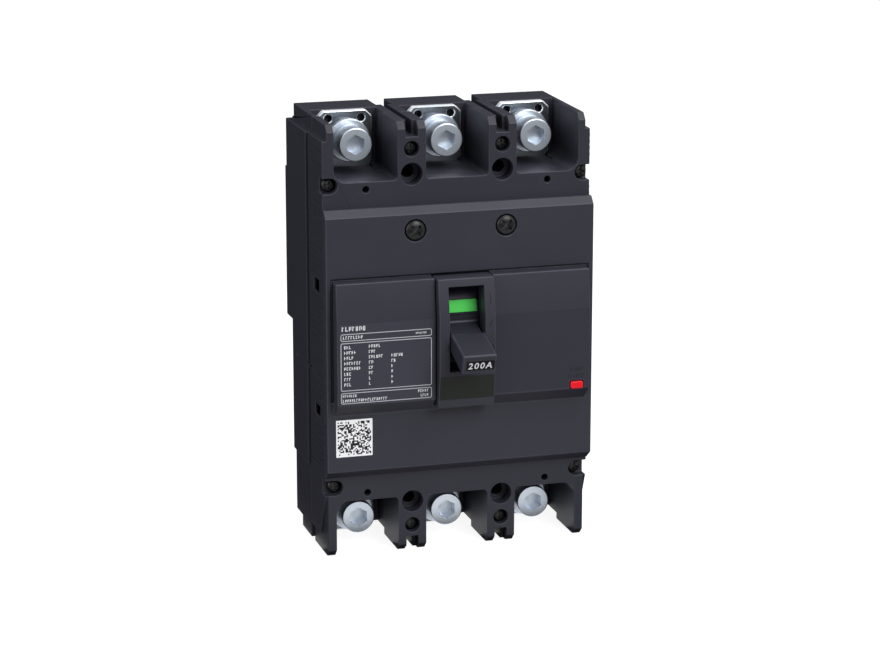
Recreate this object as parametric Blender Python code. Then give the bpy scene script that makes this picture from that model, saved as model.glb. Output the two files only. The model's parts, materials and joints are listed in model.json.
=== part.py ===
"""Three-pole molded case breaker, modelled as its real pieces at real size.

Frame: metres, +Z up. The origin is the centre of the rear mounting face. The front faces -Y, so a depth
below is the distance forward of the mounting face, and depth d lies at y = -d.
Rest position: handle at OFF, contacts open, mechanism latched.
"""
import math

import bmesh
import bpy
from mathutils import Vector

# General fits
CLEAR = 0.0003              # gap between pieces that seat on each other
OVERSHOOT = 0.002           # how far a cutter runs past the face it opens

# Case: overall size and the depths of its layers
CASE_HEIGHT = 0.165
BASE_DEPTH = 0.033          # mounting face to the parting line of base and middle cover
MIDDLE_DEPTH = 0.055        # mounting face to the front of the middle cover
COVER_DEPTH = 0.060         # mounting face to the flat of the front cover
POLE_PITCH = 0.035
MIDDLE_INSET = 0.0009       # how far the middle cover's sides lie inside the base's
COVER_INSET = 0.00075       # the same for the front cover
POLES = {"left": -1, "centre": 0, "right": 1}
SIDES = {"left": -1, "right": 1}
ENDS = {"top": 1, "bottom": -1}

# Case walls
FLOOR = 0.004               # rear wall of the base
PARTITION = 0.004           # wall between two poles
MIDDLE_WALL = 0.003         # front wall of the middle cover
COVER_WALL = 0.0024         # wall of the front cover and its panels

# Rear of the base: stepped ends and side rabbets
TOP_STEP_Z = 0.077
TOP_STEP_DEPTH = 0.0037
BOTTOM_STEP_Z = -0.0768
BOTTOM_STEP_DEPTH = 0.0184
RABBET_WIDTH = 0.003
RABBET_WALL = 0.0022        # wall left between the lower rabbets and the outer poles
UPPER_RABBET_Z = 0.058
UPPER_RABBET_DEPTH = 0.002
LOWER_RABBET_Z = -0.0006
LOWER_RABBET_DEPTH = 0.009
FOOT_SIDE_Z = -0.052        # below this the base's sides lie flush with the middle cover's

# Terminal ends of the case
POCKET_WIDTH = 0.0241
POCKET_FLOOR = 0.061        # distance of the pocket floor from mid height
POCKET_RADIUS = 0.0014
POCKET_OUTER_RADIUS = 0.0046 # corner of an outer pocket beside the case wall
BASE_POCKET_WIDTH = 0.0258  # the pockets are wider in the base, round the terminal pads
LUG_CHAMFER = 0.0025
FOOT_STEP = 0.0015          # the base's bottom lugs are this much shorter
SLOT_WIDTH = 0.0022         # phase barrier slot
SLOT_FLOOR = 0.0769
SLOT_MOUTH_WIDTH = 0.0047   # wider mouth of the slot at the front
SLOT_MOUTH_LENGTH = 0.0047
SLOT_NOTCH_WIDTH = 0.0062   # wider notch of the slot at the rear
SLOT_NOTCH_DEPTH = 0.016
SHIELD_LEDGE_Z = 0.0767     # ledge for a terminal shield
SHIELD_LEDGE_INSET = 0.0018
FOOT_RECESS_Z = -0.0575     # top of the slanted recess in the lower sides
FOOT_RECESS_TURN_Z = -0.0745
FOOT_RECESS_TURN_DEPTH = 0.048
FOOT_RECESS_END_Z = -0.0755
FOOT_RECESS_INSET = 0.0012
GAUGE_HOLE_RADIUS = 0.0013
GAUGE_HOLE_Z = 0.0581
GAUGE_HOLE_LENGTH = 0.010

# Mounting holes between the poles
MOUNT_Z = 0.063
MOUNT_HOLE_RADIUS = 0.0025
MOUNT_BORE_RADIUS = 0.00415
MOUNT_SEAT_DEPTH = 0.0485   # seat of the screw heads, near the front

# Case screws
SCREW_SHANK_RADIUS = 0.0015
SCREW_HEAD_RADIUS = 0.0026
SCREW_HEAD_HEIGHT = 0.002
SCREW_RECESS_RADIUS = 0.0029
SCREW_RECESS = 0.0041
SCREW_LENGTH = 0.032
BARRIER_SCREW_Z = 0.0724
CORNER_SCREW_INSET = {"top": 0.0030, "bottom": 0.0042}
CORNER_SCREW_Z = {"top": 0.0600, "bottom": -0.0554}

# Front cover
COVER_TOP = 0.0515
COVER_BOTTOM = -0.0513
COVER_TOP_LEDGE = 0.0021    # flat ledge behind the top slope
COVER_TOP_SLOPE = 0.0027
COVER_BOTTOM_SLOPE = 0.0035
GROOVE_WIDTH = 0.0010
GROOVE_DEPTH = 0.0012
PANEL_INSET = 0.0035
PANEL_TOP = 0.0251
PANEL_CREASE = 0.0103
PANEL_BOTTOM = -0.0207
PANEL_FOOT = -0.0258
PANEL_TOP_PROUD = 0.0036
PANEL_PROUD = 0.0053
COVER_SCREW_Z = 0.0428
COVER_SCREW_HEAD_RADIUS = 0.00385
COVER_SCREW_HEAD_HEIGHT = 0.0024
COVER_SCREW_PROUD = 0.001
COVER_SCREW_SHANK_RADIUS = 0.00125
COVER_SCREW_LENGTH = 0.016
COVER_SCREW_BOSS_RADIUS = 0.005
SCREW_POST_RADIUS = 0.004
SCREW_POST_LENGTH = 0.011

# Escutcheon round the handle window
ESCUTCHEON_HALF_WIDTH = 0.01085
ESCUTCHEON_TOP_PROUD = 0.0063
ESCUTCHEON_PROUD = 0.009
ESCUTCHEON_BEND = -0.0114   # the front slopes back from here to the foot
ESCUTCHEON_FOOT = -0.02375
ESCUTCHEON_FOOT_PROUD = 0.0069
WINDOW_HALF_WIDTH = 0.00685
WINDOW_TOP = 0.022
WINDOW_BOTTOM = -0.0098

# Handle, in its own frame at mid swing: forward from the pivot, and up
HANDLE_PIVOT_DEPTH = 0.044
HANDLE_PIVOT_Z = 0.009
HANDLE_OFF_TILT = math.radians(17.5)
DRUM_RADIUS = 0.016
DRUM_HALF_WIDTH = 0.0072
DRUM_UPPER_ANGLE = math.radians(80)
DRUM_LOWER_ANGLE = math.radians(-50)
DRUM_GAP = 0.0006
HUB_RADIUS = 0.006
TRUNNION_RADIUS = 0.002
NECK_HALF_WIDTH = 0.006
NECK_THICKNESS = 0.0054
GRIP_HALF_WIDTH = 0.0065
GRIP_START = 0.025
GRIP_END = 0.0417
GRIP_ROOT_THICKNESS = 0.0070
GRIP_TIP_THICKNESS = 0.0077
FLAG_HALF_WIDTH = 0.0063
FLAG_LOWER_ANGLE = math.radians(23.3)
FLAG_UPPER_ANGLE = math.radians(40.2)
FLAG_THICKNESS = 0.0008
YOKE_HALF_WIDTH = 0.004
YOKE_THICKNESS = 0.0024
YOKE_REACH = 0.0085
YOKE_PIN_RADIUS = 0.0013
SPRING_PIN_HALF_LENGTH = 0.0076

# Trip button
BUTTON_INSET = 0.00505
BUTTON_Z = -0.01935
BUTTON_WIDTH = 0.0050
BUTTON_HEIGHT = 0.0027
BUTTON_PROUD = 0.0004
BUTTON_FLANGE = 0.0011
BUTTON_FLANGE_THICKNESS = 0.0016
BUTTON_STEM_RADIUS = 0.0010
BUTTON_SPRING_WIRE = 0.0002
BUTTON_SPRING_TURNS = 4

# Terminals
PAD_DEPTH = 0.024           # front face of a terminal pad
PAD_THICKNESS = 0.0033
PAD_HALF_WIDTH = 0.0105
PAD_END = 0.0823
PAD_CHAMFER = 0.0023
PAD_HOLE_RADIUS = 0.00145
PAD_HOLE_X = 0.0064
PAD_HOLE_INSET = 0.0029
STRAP_HALF_WIDTH = 0.0095
STRAP_THICKNESS = 0.0032
LINE_STRAP_END = 0.017
LOAD_STRAP_END = -0.028
FIXED_CONTACT_Z = 0.0225
FIXED_CONTACT_HALF_HEIGHT = 0.0035
FIXED_CONTACT_HALF_WIDTH = 0.005
FIXED_CONTACT_HEIGHT = 0.002
BOLT_Z = 0.0722
BOLT_RADIUS = 0.0039
BOLT_HEAD_RADIUS = 0.0063
BOLT_HEAD_HEIGHT = 0.0093
BOLT_LENGTH = 0.016
BOLT_SOCKET_RADIUS = 0.0038
BOLT_SOCKET_DEPTH = 0.005
BOLT_HOLE_DEPTH = 0.012
NUT_BOSS_HALF_WIDTH = 0.0065
NUT_BOSS_Z = -0.0785        # the bosses round the lower bolts stand out of the stepped end
NUT_BOSS_DEPTH = 0.010
SPRING_RING_RADIUS = 0.0070
SPRING_RING_THICKNESS = 0.0038
FLAT_WASHER_RADIUS = 0.0081
FLAT_WASHER_THICKNESS = 0.0030

# Moving contacts, in the frame of the crossbar with the contacts closed: forward and up from its axis
CROSSBAR_DEPTH = 0.016
CROSSBAR_Z = -0.012
CROSSBAR_OPEN_TILT = math.radians(25)
CROSSBAR_RADIUS = 0.006
CROSSBAR_JOURNAL_RADIUS = 0.005
CROSSBAR_END_GAP = 0.0008
ARM_HALF_WIDTH = 0.003
ARM_HALF_THICKNESS = 0.002
ARM_SEAT = 0.002            # how far the arm's slot runs past the axis
ARM_REACH = 0.0380
DRIVE_PIN_FORWARD = 0.006
DRIVE_PIN_UP = 0.009
DRIVE_PIN_RADIUS = 0.0012
DRIVE_CHEEK_INNER = 0.004
DRIVE_CHEEK_OUTER = 0.006
DRIVE_CHEEK_RADIUS = 0.0026
SHUNT_THICKNESS = 0.0018
SHUNT_HALF_WIDTH = 0.0028
SHUNT_FOOT = 0.005          # length of braid welded to the load strap

# Arc chutes
CHUTE_BOTTOM_Z = 0.0315
CHUTE_TOP_GAP = 0.0008
CHUTE_REAR_DEPTH = 0.0115
CHUTE_FRONT_DEPTH = 0.0415
CHUTE_SIDE = 0.0015
SPLITTER_COUNT = 7
SPLITTER_THICKNESS = 0.0012
SPLITTER_NOTCH_HALF_WIDTH = 0.0045
SPLITTER_NOTCH_DEPTH = 0.007

# Toggle mechanism
FRAME_INNER = 0.011
FRAME_PLATE = 0.0015
FRAME_FOOT_GAP = 0.0009     # side plates to the trip bar below them
FRAME_TOP_Z = 0.019
FRAME_FRONT_MARGIN = 0.0035 # handle pivot to the front edge of the side plates
FRAME_BRIDGE = 0.0016
UPPER_BRIDGE_DEPTH = 0.0350
LOWER_BRIDGE_DEPTH = 0.0390
BRIDGE_LENGTH = 0.006
LINK_PIVOT_SETBACK = 0.006  # handle pivot to the pivot of the toggle links
LINK_PIVOT_Z = -0.018
LINK_LENGTH = 0.011966      # both toggle links, pin to pin
LINK_PIN_RADIUS = 0.0014
LINK_EYE_RADIUS = 0.0033
LINK_HALF_WIDTH = 0.0017
LOWER_LINK_HALF = 0.0014
CHEEK_THICKNESS = 0.0015
OPEN_PIVOT_PLAY = 0.0009    # radial play where the linkage is opened
CRADLE_HALF = 0.0014
CRADLE_PIVOT_DEPTH = 0.0435
CRADLE_PIVOT_Z = -0.0235
CRADLE_NOSE_DEPTH = 0.0308
CRADLE_NOSE_Z = -0.0255
MAIN_SPRING_X = 0.0057
MAIN_SPRING_RADIUS = 0.0012
MAIN_SPRING_WIRE = 0.0003
MAIN_SPRING_TURNS = 7

# Trip unit
TRIP_BAR_DEPTH = 0.030
TRIP_BAR_Z = -0.033
TRIP_BAR_RADIUS = 0.0026
TRIP_BAR_END_GAP = 0.002
TRIP_TAB_LEFT = 0.003
TRIP_TAB_RIGHT = 0.008
TRIP_TAB_REACH = 0.0365
TRIP_TAB_DROP = 0.0028
BUTTON_TAB_DEPTH = 0.035
BUTTON_TAB_HALF_WIDTH = 0.0025
BUTTON_TAB_TOP = -0.0165
LATCH_HALF_WIDTH = 0.0025
BIMETAL_PLAY = 0.0022       # bimetal to the tab it lifts
BIMETAL_THICKNESS = 0.0012
BIMETAL_HALF_WIDTH = 0.004
BIMETAL_TIP_DEPTH = 0.0345
BIMETAL_FOOT = 0.0042
ARMATURE_SPACING = 0.00615  # bimetal to armature
ARMATURE_GAP = 0.0015       # armature to the leg of the load conductor
ARMATURE_THICKNESS = 0.0015
ARMATURE_HALF_WIDTH = 0.007
ARMATURE_REACH_DEPTH = 0.0355
ARMATURE_KNUCKLE_RADIUS = 0.0012
ARMATURE_FINGER_WIDTH = 0.002
ARMATURE_FINGER_DROP = 0.0006

# Sizes worked out from those above
HALF_WIDTH = len(POLES) * POLE_PITCH / 2
HALF_HEIGHT = CASE_HEIGHT / 2
MIDDLE_HALF = HALF_WIDTH - MIDDLE_INSET
COVER_HALF = HALF_WIDTH - COVER_INSET
PANEL_HALF_WIDTH = HALF_WIDTH - PANEL_INSET
BUTTON_X = PANEL_HALF_WIDTH - BUTTON_INSET
MIDDLE_REAR = BASE_DEPTH + CLEAR
COVER_REAR = MIDDLE_DEPTH + CLEAR
CAVITY_HALF_WIDTH = (POLE_PITCH - PARTITION) / 2
BARRIER_X = POLE_PITCH / 2
CROSSBAR_HALF_LENGTH = HALF_WIDTH - RABBET_WIDTH - RABBET_WALL - CROSSBAR_END_GAP
TRIP_BAR_HALF_LENGTH = POLE_PITCH + CAVITY_HALF_WIDTH - TRIP_BAR_END_GAP
FRAME_BOTTOM_Z = TRIP_BAR_Z + TRIP_BAR_RADIUS + FRAME_FOOT_GAP
FRAME_FRONT_DEPTH = HANDLE_PIVOT_DEPTH + FRAME_FRONT_MARGIN
LINK_PIVOT_DEPTH = HANDLE_PIVOT_DEPTH - LINK_PIVOT_SETBACK
TRIP_TAB_BOTTOM = TRIP_BAR_Z - TRIP_TAB_DROP
BIMETAL_Z = TRIP_TAB_BOTTOM - BIMETAL_PLAY - BIMETAL_THICKNESS / 2
ARMATURE_Z = BIMETAL_Z - ARMATURE_SPACING
ARMATURE_FINGER_TOP = BIMETAL_Z - ARMATURE_FINGER_DROP
CAVITY_HALF_HEIGHT = ARMATURE_THICKNESS / 2 - ARMATURE_Z + ARMATURE_GAP + STRAP_THICKNESS + 2 * CLEAR
CHUTE_TOP_Z = CAVITY_HALF_HEIGHT - 2 * CLEAR - STRAP_THICKNESS - CHUTE_TOP_GAP
STRAP_REAR = FLOOR + CLEAR
STRAP_FRONT = STRAP_REAR + STRAP_THICKNESS
PAD_REAR = PAD_DEPTH - PAD_THICKNESS
PANEL_DEPTH = COVER_DEPTH + PANEL_PROUD
SPRING_RING_REAR = PAD_DEPTH + CLEAR
WASHER_REAR = SPRING_RING_REAR + SPRING_RING_THICKNESS
WASHER_FRONT = WASHER_REAR + FLAT_WASHER_THICKNESS
BOLT_HEAD_REAR = WASHER_FRONT + CLEAR
BOLT_HOLE_RADIUS = BOLT_RADIUS + CLEAR
SCREW_SEAT = MIDDLE_DEPTH - SCREW_RECESS
SCREW_END = SCREW_SEAT - SCREW_LENGTH
SCREW_HOLE_RADIUS = SCREW_SHANK_RADIUS + CLEAR
COVER_SCREW_SEAT = COVER_DEPTH + COVER_SCREW_PROUD - COVER_SCREW_HEAD_HEIGHT
COVER_SCREW_HOLE = COVER_SCREW_SHANK_RADIUS + CLEAR


def turn_up(forward, up, angle):
    """Point (forward, up) turned so that what points up leans forward by angle."""
    turned_forward = forward * math.cos(angle) + up * math.sin(angle)
    turned_up = up * math.cos(angle) - forward * math.sin(angle)
    return turned_forward, turned_up


def arc(centre, radius, start, end, steps):
    """Points on an arc in a plane, from the start angle to the end angle."""
    points = []
    for step in range(steps + 1):
        angle = start + (end - start) * step / steps
        points.append((centre[0] + radius * math.cos(angle), centre[1] + radius * math.sin(angle)))
    return points


def circle(centre, radius, sides):
    """Points round a circle in a plane."""
    return arc(centre, radius, 0, 2 * math.pi * (1 - 1 / sides), sides - 1)


def rectangle(low, high):
    """Corners of a rectangle in a plane."""
    return [(low[0], low[1]), (high[0], low[1]), (high[0], high[1]), (low[0], high[1])]


def capsule(first, second, radius, steps=6):
    """Outline of two equal eyes joined by their tangents."""
    angle = math.atan2(second[1] - first[1], second[0] - first[0])
    quarter = math.pi / 2
    far = arc(second, radius, angle - quarter, angle + quarter, steps)
    near = arc(first, radius, angle + quarter, angle + 3 * quarter, steps)
    return far + near


def prism(outline, axis, low, high):
    """Closed prism. Outlines are (x, z) along depth, (depth, z) along x and (x, depth) along z."""
    mesh = bmesh.new()
    rings = []
    for level in (low, high):
        ring = []
        for first, second in outline:
            if axis == "depth":
                place = (first, -level, second)
            elif axis == "x":
                place = (level, -first, second)
            else:
                place = (first, -second, level)
            ring.append(mesh.verts.new(place))
        rings.append(ring)
    mesh.faces.new(rings[0])
    mesh.faces.new(rings[1])
    count = len(outline)
    for index in range(count):
        after = (index + 1) % count
        mesh.faces.new((rings[0][index], rings[0][after], rings[1][after], rings[1][index]))
    bmesh.ops.recalc_face_normals(mesh, faces=mesh.faces)
    return mesh


def block(x_range, depth_range, z_range):
    """Box between two limits on each axis."""
    outline = rectangle((x_range[0], z_range[0]), (x_range[1], z_range[1]))
    return prism(outline, "depth", depth_range[0], depth_range[1])


def rod(axis, centre, radius, low, high, sides=16):
    """Round bar along one axis."""
    return prism(circle(centre, radius, sides), axis, low, high)


def coil(start, end, radius, wire, turns, points_per_turn=8, wire_sides=5):
    """Closed helical wire from start to end."""
    direction = (end - start).normalized()
    side = direction.orthogonal().normalized()
    other = direction.cross(side)
    length = (end - start).length
    total = turns * points_per_turn
    mesh = bmesh.new()
    rings = []
    for step in range(total + 1):
        angle = 2 * math.pi * step / points_per_turn
        outward = side * math.cos(angle) + other * math.sin(angle)
        middle = start + direction * (length * step / total) + outward * radius
        ring = []
        for corner in range(wire_sides):
            lean = 2 * math.pi * corner / wire_sides
            offset = outward * math.cos(lean) + direction * math.sin(lean)
            ring.append(mesh.verts.new(middle + offset * wire))
        rings.append(ring)
    for lower, upper in zip(rings, rings[1:]):
        for corner in range(wire_sides):
            after = (corner + 1) % wire_sides
            mesh.faces.new((lower[corner], lower[after], upper[after], upper[corner]))
    mesh.faces.new(rings[0])
    mesh.faces.new(rings[-1])
    bmesh.ops.recalc_face_normals(mesh, faces=mesh.faces)
    return mesh


def ribbon(path, thickness):
    """Outline of a strip of even thickness along a path of (depth, z) points."""
    left = []
    right = []
    for index, point in enumerate(path):
        before = path[max(index - 1, 0)]
        after = path[min(index + 1, len(path) - 1)]
        run = Vector((after[0] - before[0], after[1] - before[1])).normalized()
        offset = Vector((-run.y, run.x)) * thickness / 2
        left.append((point[0] + offset.x, point[1] + offset.y))
        right.append((point[0] - offset.x, point[1] - offset.y))
    return left + right[::-1]


def temporary_object(mesh, collection):
    """Object made from a mesh under construction, linked to a collection."""
    data = bpy.data.meshes.new("tool")
    mesh.to_mesh(data)
    mesh.free()
    tool = bpy.data.objects.new("tool", data)
    collection.objects.link(tool)
    return tool


def combine(body, operation, tools):
    """Boolean of one mesh with a list of others, as a new mesh under construction."""
    scene = bpy.context.scene.collection
    group = bpy.data.collections.new("tools")
    scene.children.link(group)
    target = temporary_object(body, scene)
    for tool in tools:
        temporary_object(tool, group)
    modifier = target.modifiers.new("combine", "BOOLEAN")
    modifier.operation = operation
    modifier.operand_type = "COLLECTION"
    modifier.collection = group
    modifier.solver = "EXACT"
    graph = bpy.context.evaluated_depsgraph_get()
    result = bmesh.new()
    result.from_mesh(target.evaluated_get(graph).data)
    for used in list(group.objects) + [target]:
        bpy.data.objects.remove(used, do_unlink=True)
    bpy.data.collections.remove(group)
    bmesh.ops.remove_doubles(result, verts=result.verts, dist=1e-6)
    bmesh.ops.dissolve_limit(result, angle_limit=math.radians(0.2), verts=result.verts, edges=result.edges)
    return result


def union(body, *tools):
    """Body joined with each tool."""
    return combine(body, "UNION", tools)


def difference(body, *tools):
    """Body with each tool cut away."""
    return combine(body, "DIFFERENCE", tools)


def material(name, colour, roughness, metallic):
    """Principled material with the piece's colour."""
    finish = bpy.data.materials.new(name)
    finish.use_nodes = True
    shader = finish.node_tree.nodes["Principled BSDF"]
    shader.inputs["Base Color"].default_value = (*colour, 1.0)
    shader.inputs["Roughness"].default_value = roughness
    shader.inputs["Metallic"].default_value = metallic
    return finish


FINISHES = {
    "case": ((0.040, 0.040, 0.047), 0.5, 0.0),
    "cover": ((0.048, 0.048, 0.055), 0.45, 0.0),
    "grip": ((0.035, 0.035, 0.043), 0.4, 0.0),
    "green": ((0.065, 0.46, 0.09), 0.4, 0.0),
    "red": ((0.79, 0.015, 0.028), 0.35, 0.0),
    "tinned": ((0.62, 0.65, 0.68), 0.3, 1.0),
    "bolt": ((0.55, 0.59, 0.64), 0.3, 1.0),
    "black_screw": ((0.02, 0.02, 0.02), 0.4, 0.6),
    "steel": ((0.45, 0.45, 0.47), 0.4, 1.0),
    "copper": ((0.62, 0.30, 0.18), 0.4, 1.0),
    "braid": ((0.55, 0.28, 0.17), 0.6, 1.0),
    "insulator": ((0.25, 0.10, 0.06), 0.6, 0.0),
    "spring": ((0.5, 0.5, 0.52), 0.35, 1.0),
    "bimetal": ((0.52, 0.48, 0.42), 0.4, 1.0),
}


def piece(name, finish, mesh, parent=None, pivot=(0, 0, 0)):
    """Named object for one piece, with its origin at the pivot or under a parent on its joint's axis."""
    data = bpy.data.meshes.new(name)
    if parent is None:
        bmesh.ops.translate(mesh, verts=mesh.verts, vec=-Vector(pivot))
    mesh.to_mesh(data)
    mesh.free()
    data.shade_smooth()
    data.set_sharp_from_angle(angle=math.radians(35))
    data.materials.append(material(name, *FINISHES[finish]))
    result = bpy.data.objects.new(name, data)
    bpy.context.scene.collection.objects.link(result)
    if parent is None:
        result.location = pivot
    else:
        result.parent = parent
    return result


def axis_empty(name, depth, z, tilt):
    """Empty on a joint's axis, tilted so that what points up leans forward by tilt."""
    empty = bpy.data.objects.new(name, None)
    bpy.context.scene.collection.objects.link(empty)
    empty.location = (0, -depth, z)
    empty.rotation_euler = (tilt, 0, 0)
    return empty


def both_ways(make):
    """Meshes made for the left and the right side."""
    return [make(side) for side in SIDES.values()]


def pocket_outline(centre, end, width):
    """Terminal pocket seen from the front, open at its end of the case."""
    half = width / 2
    floor = end * POCKET_FLOOR
    mouth = end * (HALF_HEIGHT + OVERSHOOT)
    quarter = math.pi / 2
    right_radius = POCKET_OUTER_RADIUS if centre > 0 else POCKET_RADIUS
    left_radius = POCKET_OUTER_RADIUS if centre < 0 else POCKET_RADIUS
    right = (centre + half - right_radius, floor + end * right_radius)
    left = (centre - half + left_radius, floor + end * left_radius)
    corners = arc(right, right_radius, 0, -end * quarter, 5)
    corners += arc(left, left_radius, -end * quarter, -end * 2 * quarter, 5)
    return [(centre + half, mouth)] + corners + [(centre - half, mouth)]


def each_pole_end():
    """Pole centre and end of every terminal."""
    for pole in POLES.values():
        for end in ENDS.values():
            yield pole * POLE_PITCH, end


def terminal_end_cuts(rear):
    """Cutters that base and middle cover share at their terminal ends."""
    front = MIDDLE_DEPTH + OVERSHOOT
    far = HALF_HEIGHT + OVERSHOOT
    wide = HALF_WIDTH + OVERSHOOT
    ledge = MIDDLE_HALF - SHIELD_LEDGE_INSET
    cuts = []
    for side in SIDES.values():
        x = side * BARRIER_X
        for end in ENDS.values():
            height = sorted((end * SLOT_FLOOR, end * far))
            mouth = MIDDLE_DEPTH - SLOT_MOUTH_LENGTH
            for width, depth in (
                (SLOT_NOTCH_WIDTH, (-OVERSHOOT, SLOT_NOTCH_DEPTH)),
                (SLOT_WIDTH, (SLOT_NOTCH_DEPTH - CLEAR, mouth + CLEAR)),
                (SLOT_MOUTH_WIDTH, (mouth, front)),
            ):
                cuts.append(block((x - width / 2, x + width / 2), depth, height))
        span = sorted((side * ledge, side * wide))
        cuts.append(block(span, (rear - OVERSHOOT, front), (SHIELD_LEDGE_Z, far)))
    return cuts


def case_screw_places():
    """Name, x and z of every screw that joins the middle cover to the base."""
    for end_name, end in ENDS.items():
        for side_name, side in SIDES.items():
            place = f"{end_name}_{side_name}"
            corner_x = side * (MIDDLE_HALF - CORNER_SCREW_INSET[end_name])
            yield f"barrier_screw_{place}", side * BARRIER_X, end * BARRIER_SCREW_Z
            yield f"corner_screw_{place}", corner_x, CORNER_SCREW_Z[end_name]


def make_base():
    """Rear half of the case: three pole trays, terminal seats, bearings and screw holes."""
    profile = [
        (0, BOTTOM_STEP_Z), (0, TOP_STEP_Z), (TOP_STEP_DEPTH, TOP_STEP_Z), (TOP_STEP_DEPTH, HALF_HEIGHT),
        (BASE_DEPTH, HALF_HEIGHT), (BASE_DEPTH, -HALF_HEIGHT + FOOT_STEP),
        (BOTTOM_STEP_DEPTH, -HALF_HEIGHT + FOOT_STEP), (BOTTOM_STEP_DEPTH, BOTTOM_STEP_Z),
    ]
    body = prism(profile, "x", -HALF_WIDTH, HALF_WIDTH)
    front = BASE_DEPTH + OVERSHOOT
    cuts = terminal_end_cuts(0)
    inner = HALF_WIDTH - RABBET_WIDTH
    outer = HALF_WIDTH + OVERSHOOT
    for pole in POLES.values():
        x = pole * POLE_PITCH
        span = (x - CAVITY_HALF_WIDTH, x + CAVITY_HALF_WIDTH)
        cuts.append(block(span, (FLOOR, front), (-CAVITY_HALF_HEIGHT, CAVITY_HALF_HEIGHT)))
    body = difference(body, *cuts)
    fills = []
    for pole in POLES.values():
        x = pole * POLE_PITCH
        span = (x - NUT_BOSS_HALF_WIDTH, x + NUT_BOSS_HALF_WIDTH)
        height = (NUT_BOSS_Z, BOTTOM_STEP_Z + CLEAR)
        fills.append(block(span, (NUT_BOSS_DEPTH, BOTTOM_STEP_DEPTH + CLEAR), height))
    for side in SIDES.values():
        span = sorted((side * (inner - RABBET_WALL), side * (HALF_WIDTH - CLEAR)))
        height = (-CAVITY_HALF_HEIGHT - CLEAR, LOWER_RABBET_Z + RABBET_WALL)
        fills.append(block(span, (CLEAR, LOWER_RABBET_DEPTH + RABBET_WALL), height))
    body = union(body, *fills)
    cuts = []
    strap = STRAP_HALF_WIDTH + CLEAR
    for x, end in each_pole_end():
        pocket = pocket_outline(x, end, BASE_POCKET_WIDTH)
        cuts.append(prism(pocket, "depth", PAD_REAR - CLEAR, front))
        throat = sorted((end * (CAVITY_HALF_HEIGHT - OVERSHOOT), end * (POCKET_FLOOR + OVERSHOOT)))
        cuts.append(block((x - strap, x + strap), (PAD_REAR - CLEAR, front), throat))
        cuts.append(rod("depth", (x, end * BOLT_Z), BOLT_HOLE_RADIUS, BOLT_HOLE_DEPTH, PAD_REAR))
    for side in SIDES.values():
        rabbet = sorted((side * inner, side * outer))
        cuts.append(block(rabbet, (-OVERSHOOT, UPPER_RABBET_DEPTH), (UPPER_RABBET_Z, HALF_HEIGHT)))
        cuts.append(block(rabbet, (-OVERSHOOT, LOWER_RABBET_DEPTH), (-HALF_HEIGHT, LOWER_RABBET_Z)))
        flush = sorted((side * MIDDLE_HALF, side * outer))
        cuts.append(block(flush, (-OVERSHOOT, front), (-HALF_HEIGHT, FOOT_SIDE_Z)))
        x = side * BARRIER_X
        span = (x - PARTITION, x + PARTITION)
        for depth, z, radius in (
            (CROSSBAR_DEPTH, CROSSBAR_Z, CROSSBAR_JOURNAL_RADIUS + CLEAR),
            (TRIP_BAR_DEPTH, TRIP_BAR_Z, TRIP_BAR_RADIUS + CLEAR),
        ):
            bearing = arc((depth, z), radius, math.pi / 2, 3 * math.pi / 2, 10)
            bearing += [(front, z - radius), (front, z + radius)]
            cuts.append(prism(bearing, "x", *span))
        for end in ENDS.values():
            place = (x, end * MOUNT_Z)
            cuts.append(rod("depth", place, MOUNT_HOLE_RADIUS, -OVERSHOOT, front, 24))
    for _, x, z in case_screw_places():
        cuts.append(rod("depth", (x, z), SCREW_HOLE_RADIUS, SCREW_END - CLEAR, front, 12))
    piece("base", "case", difference(body, *cuts))


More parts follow.
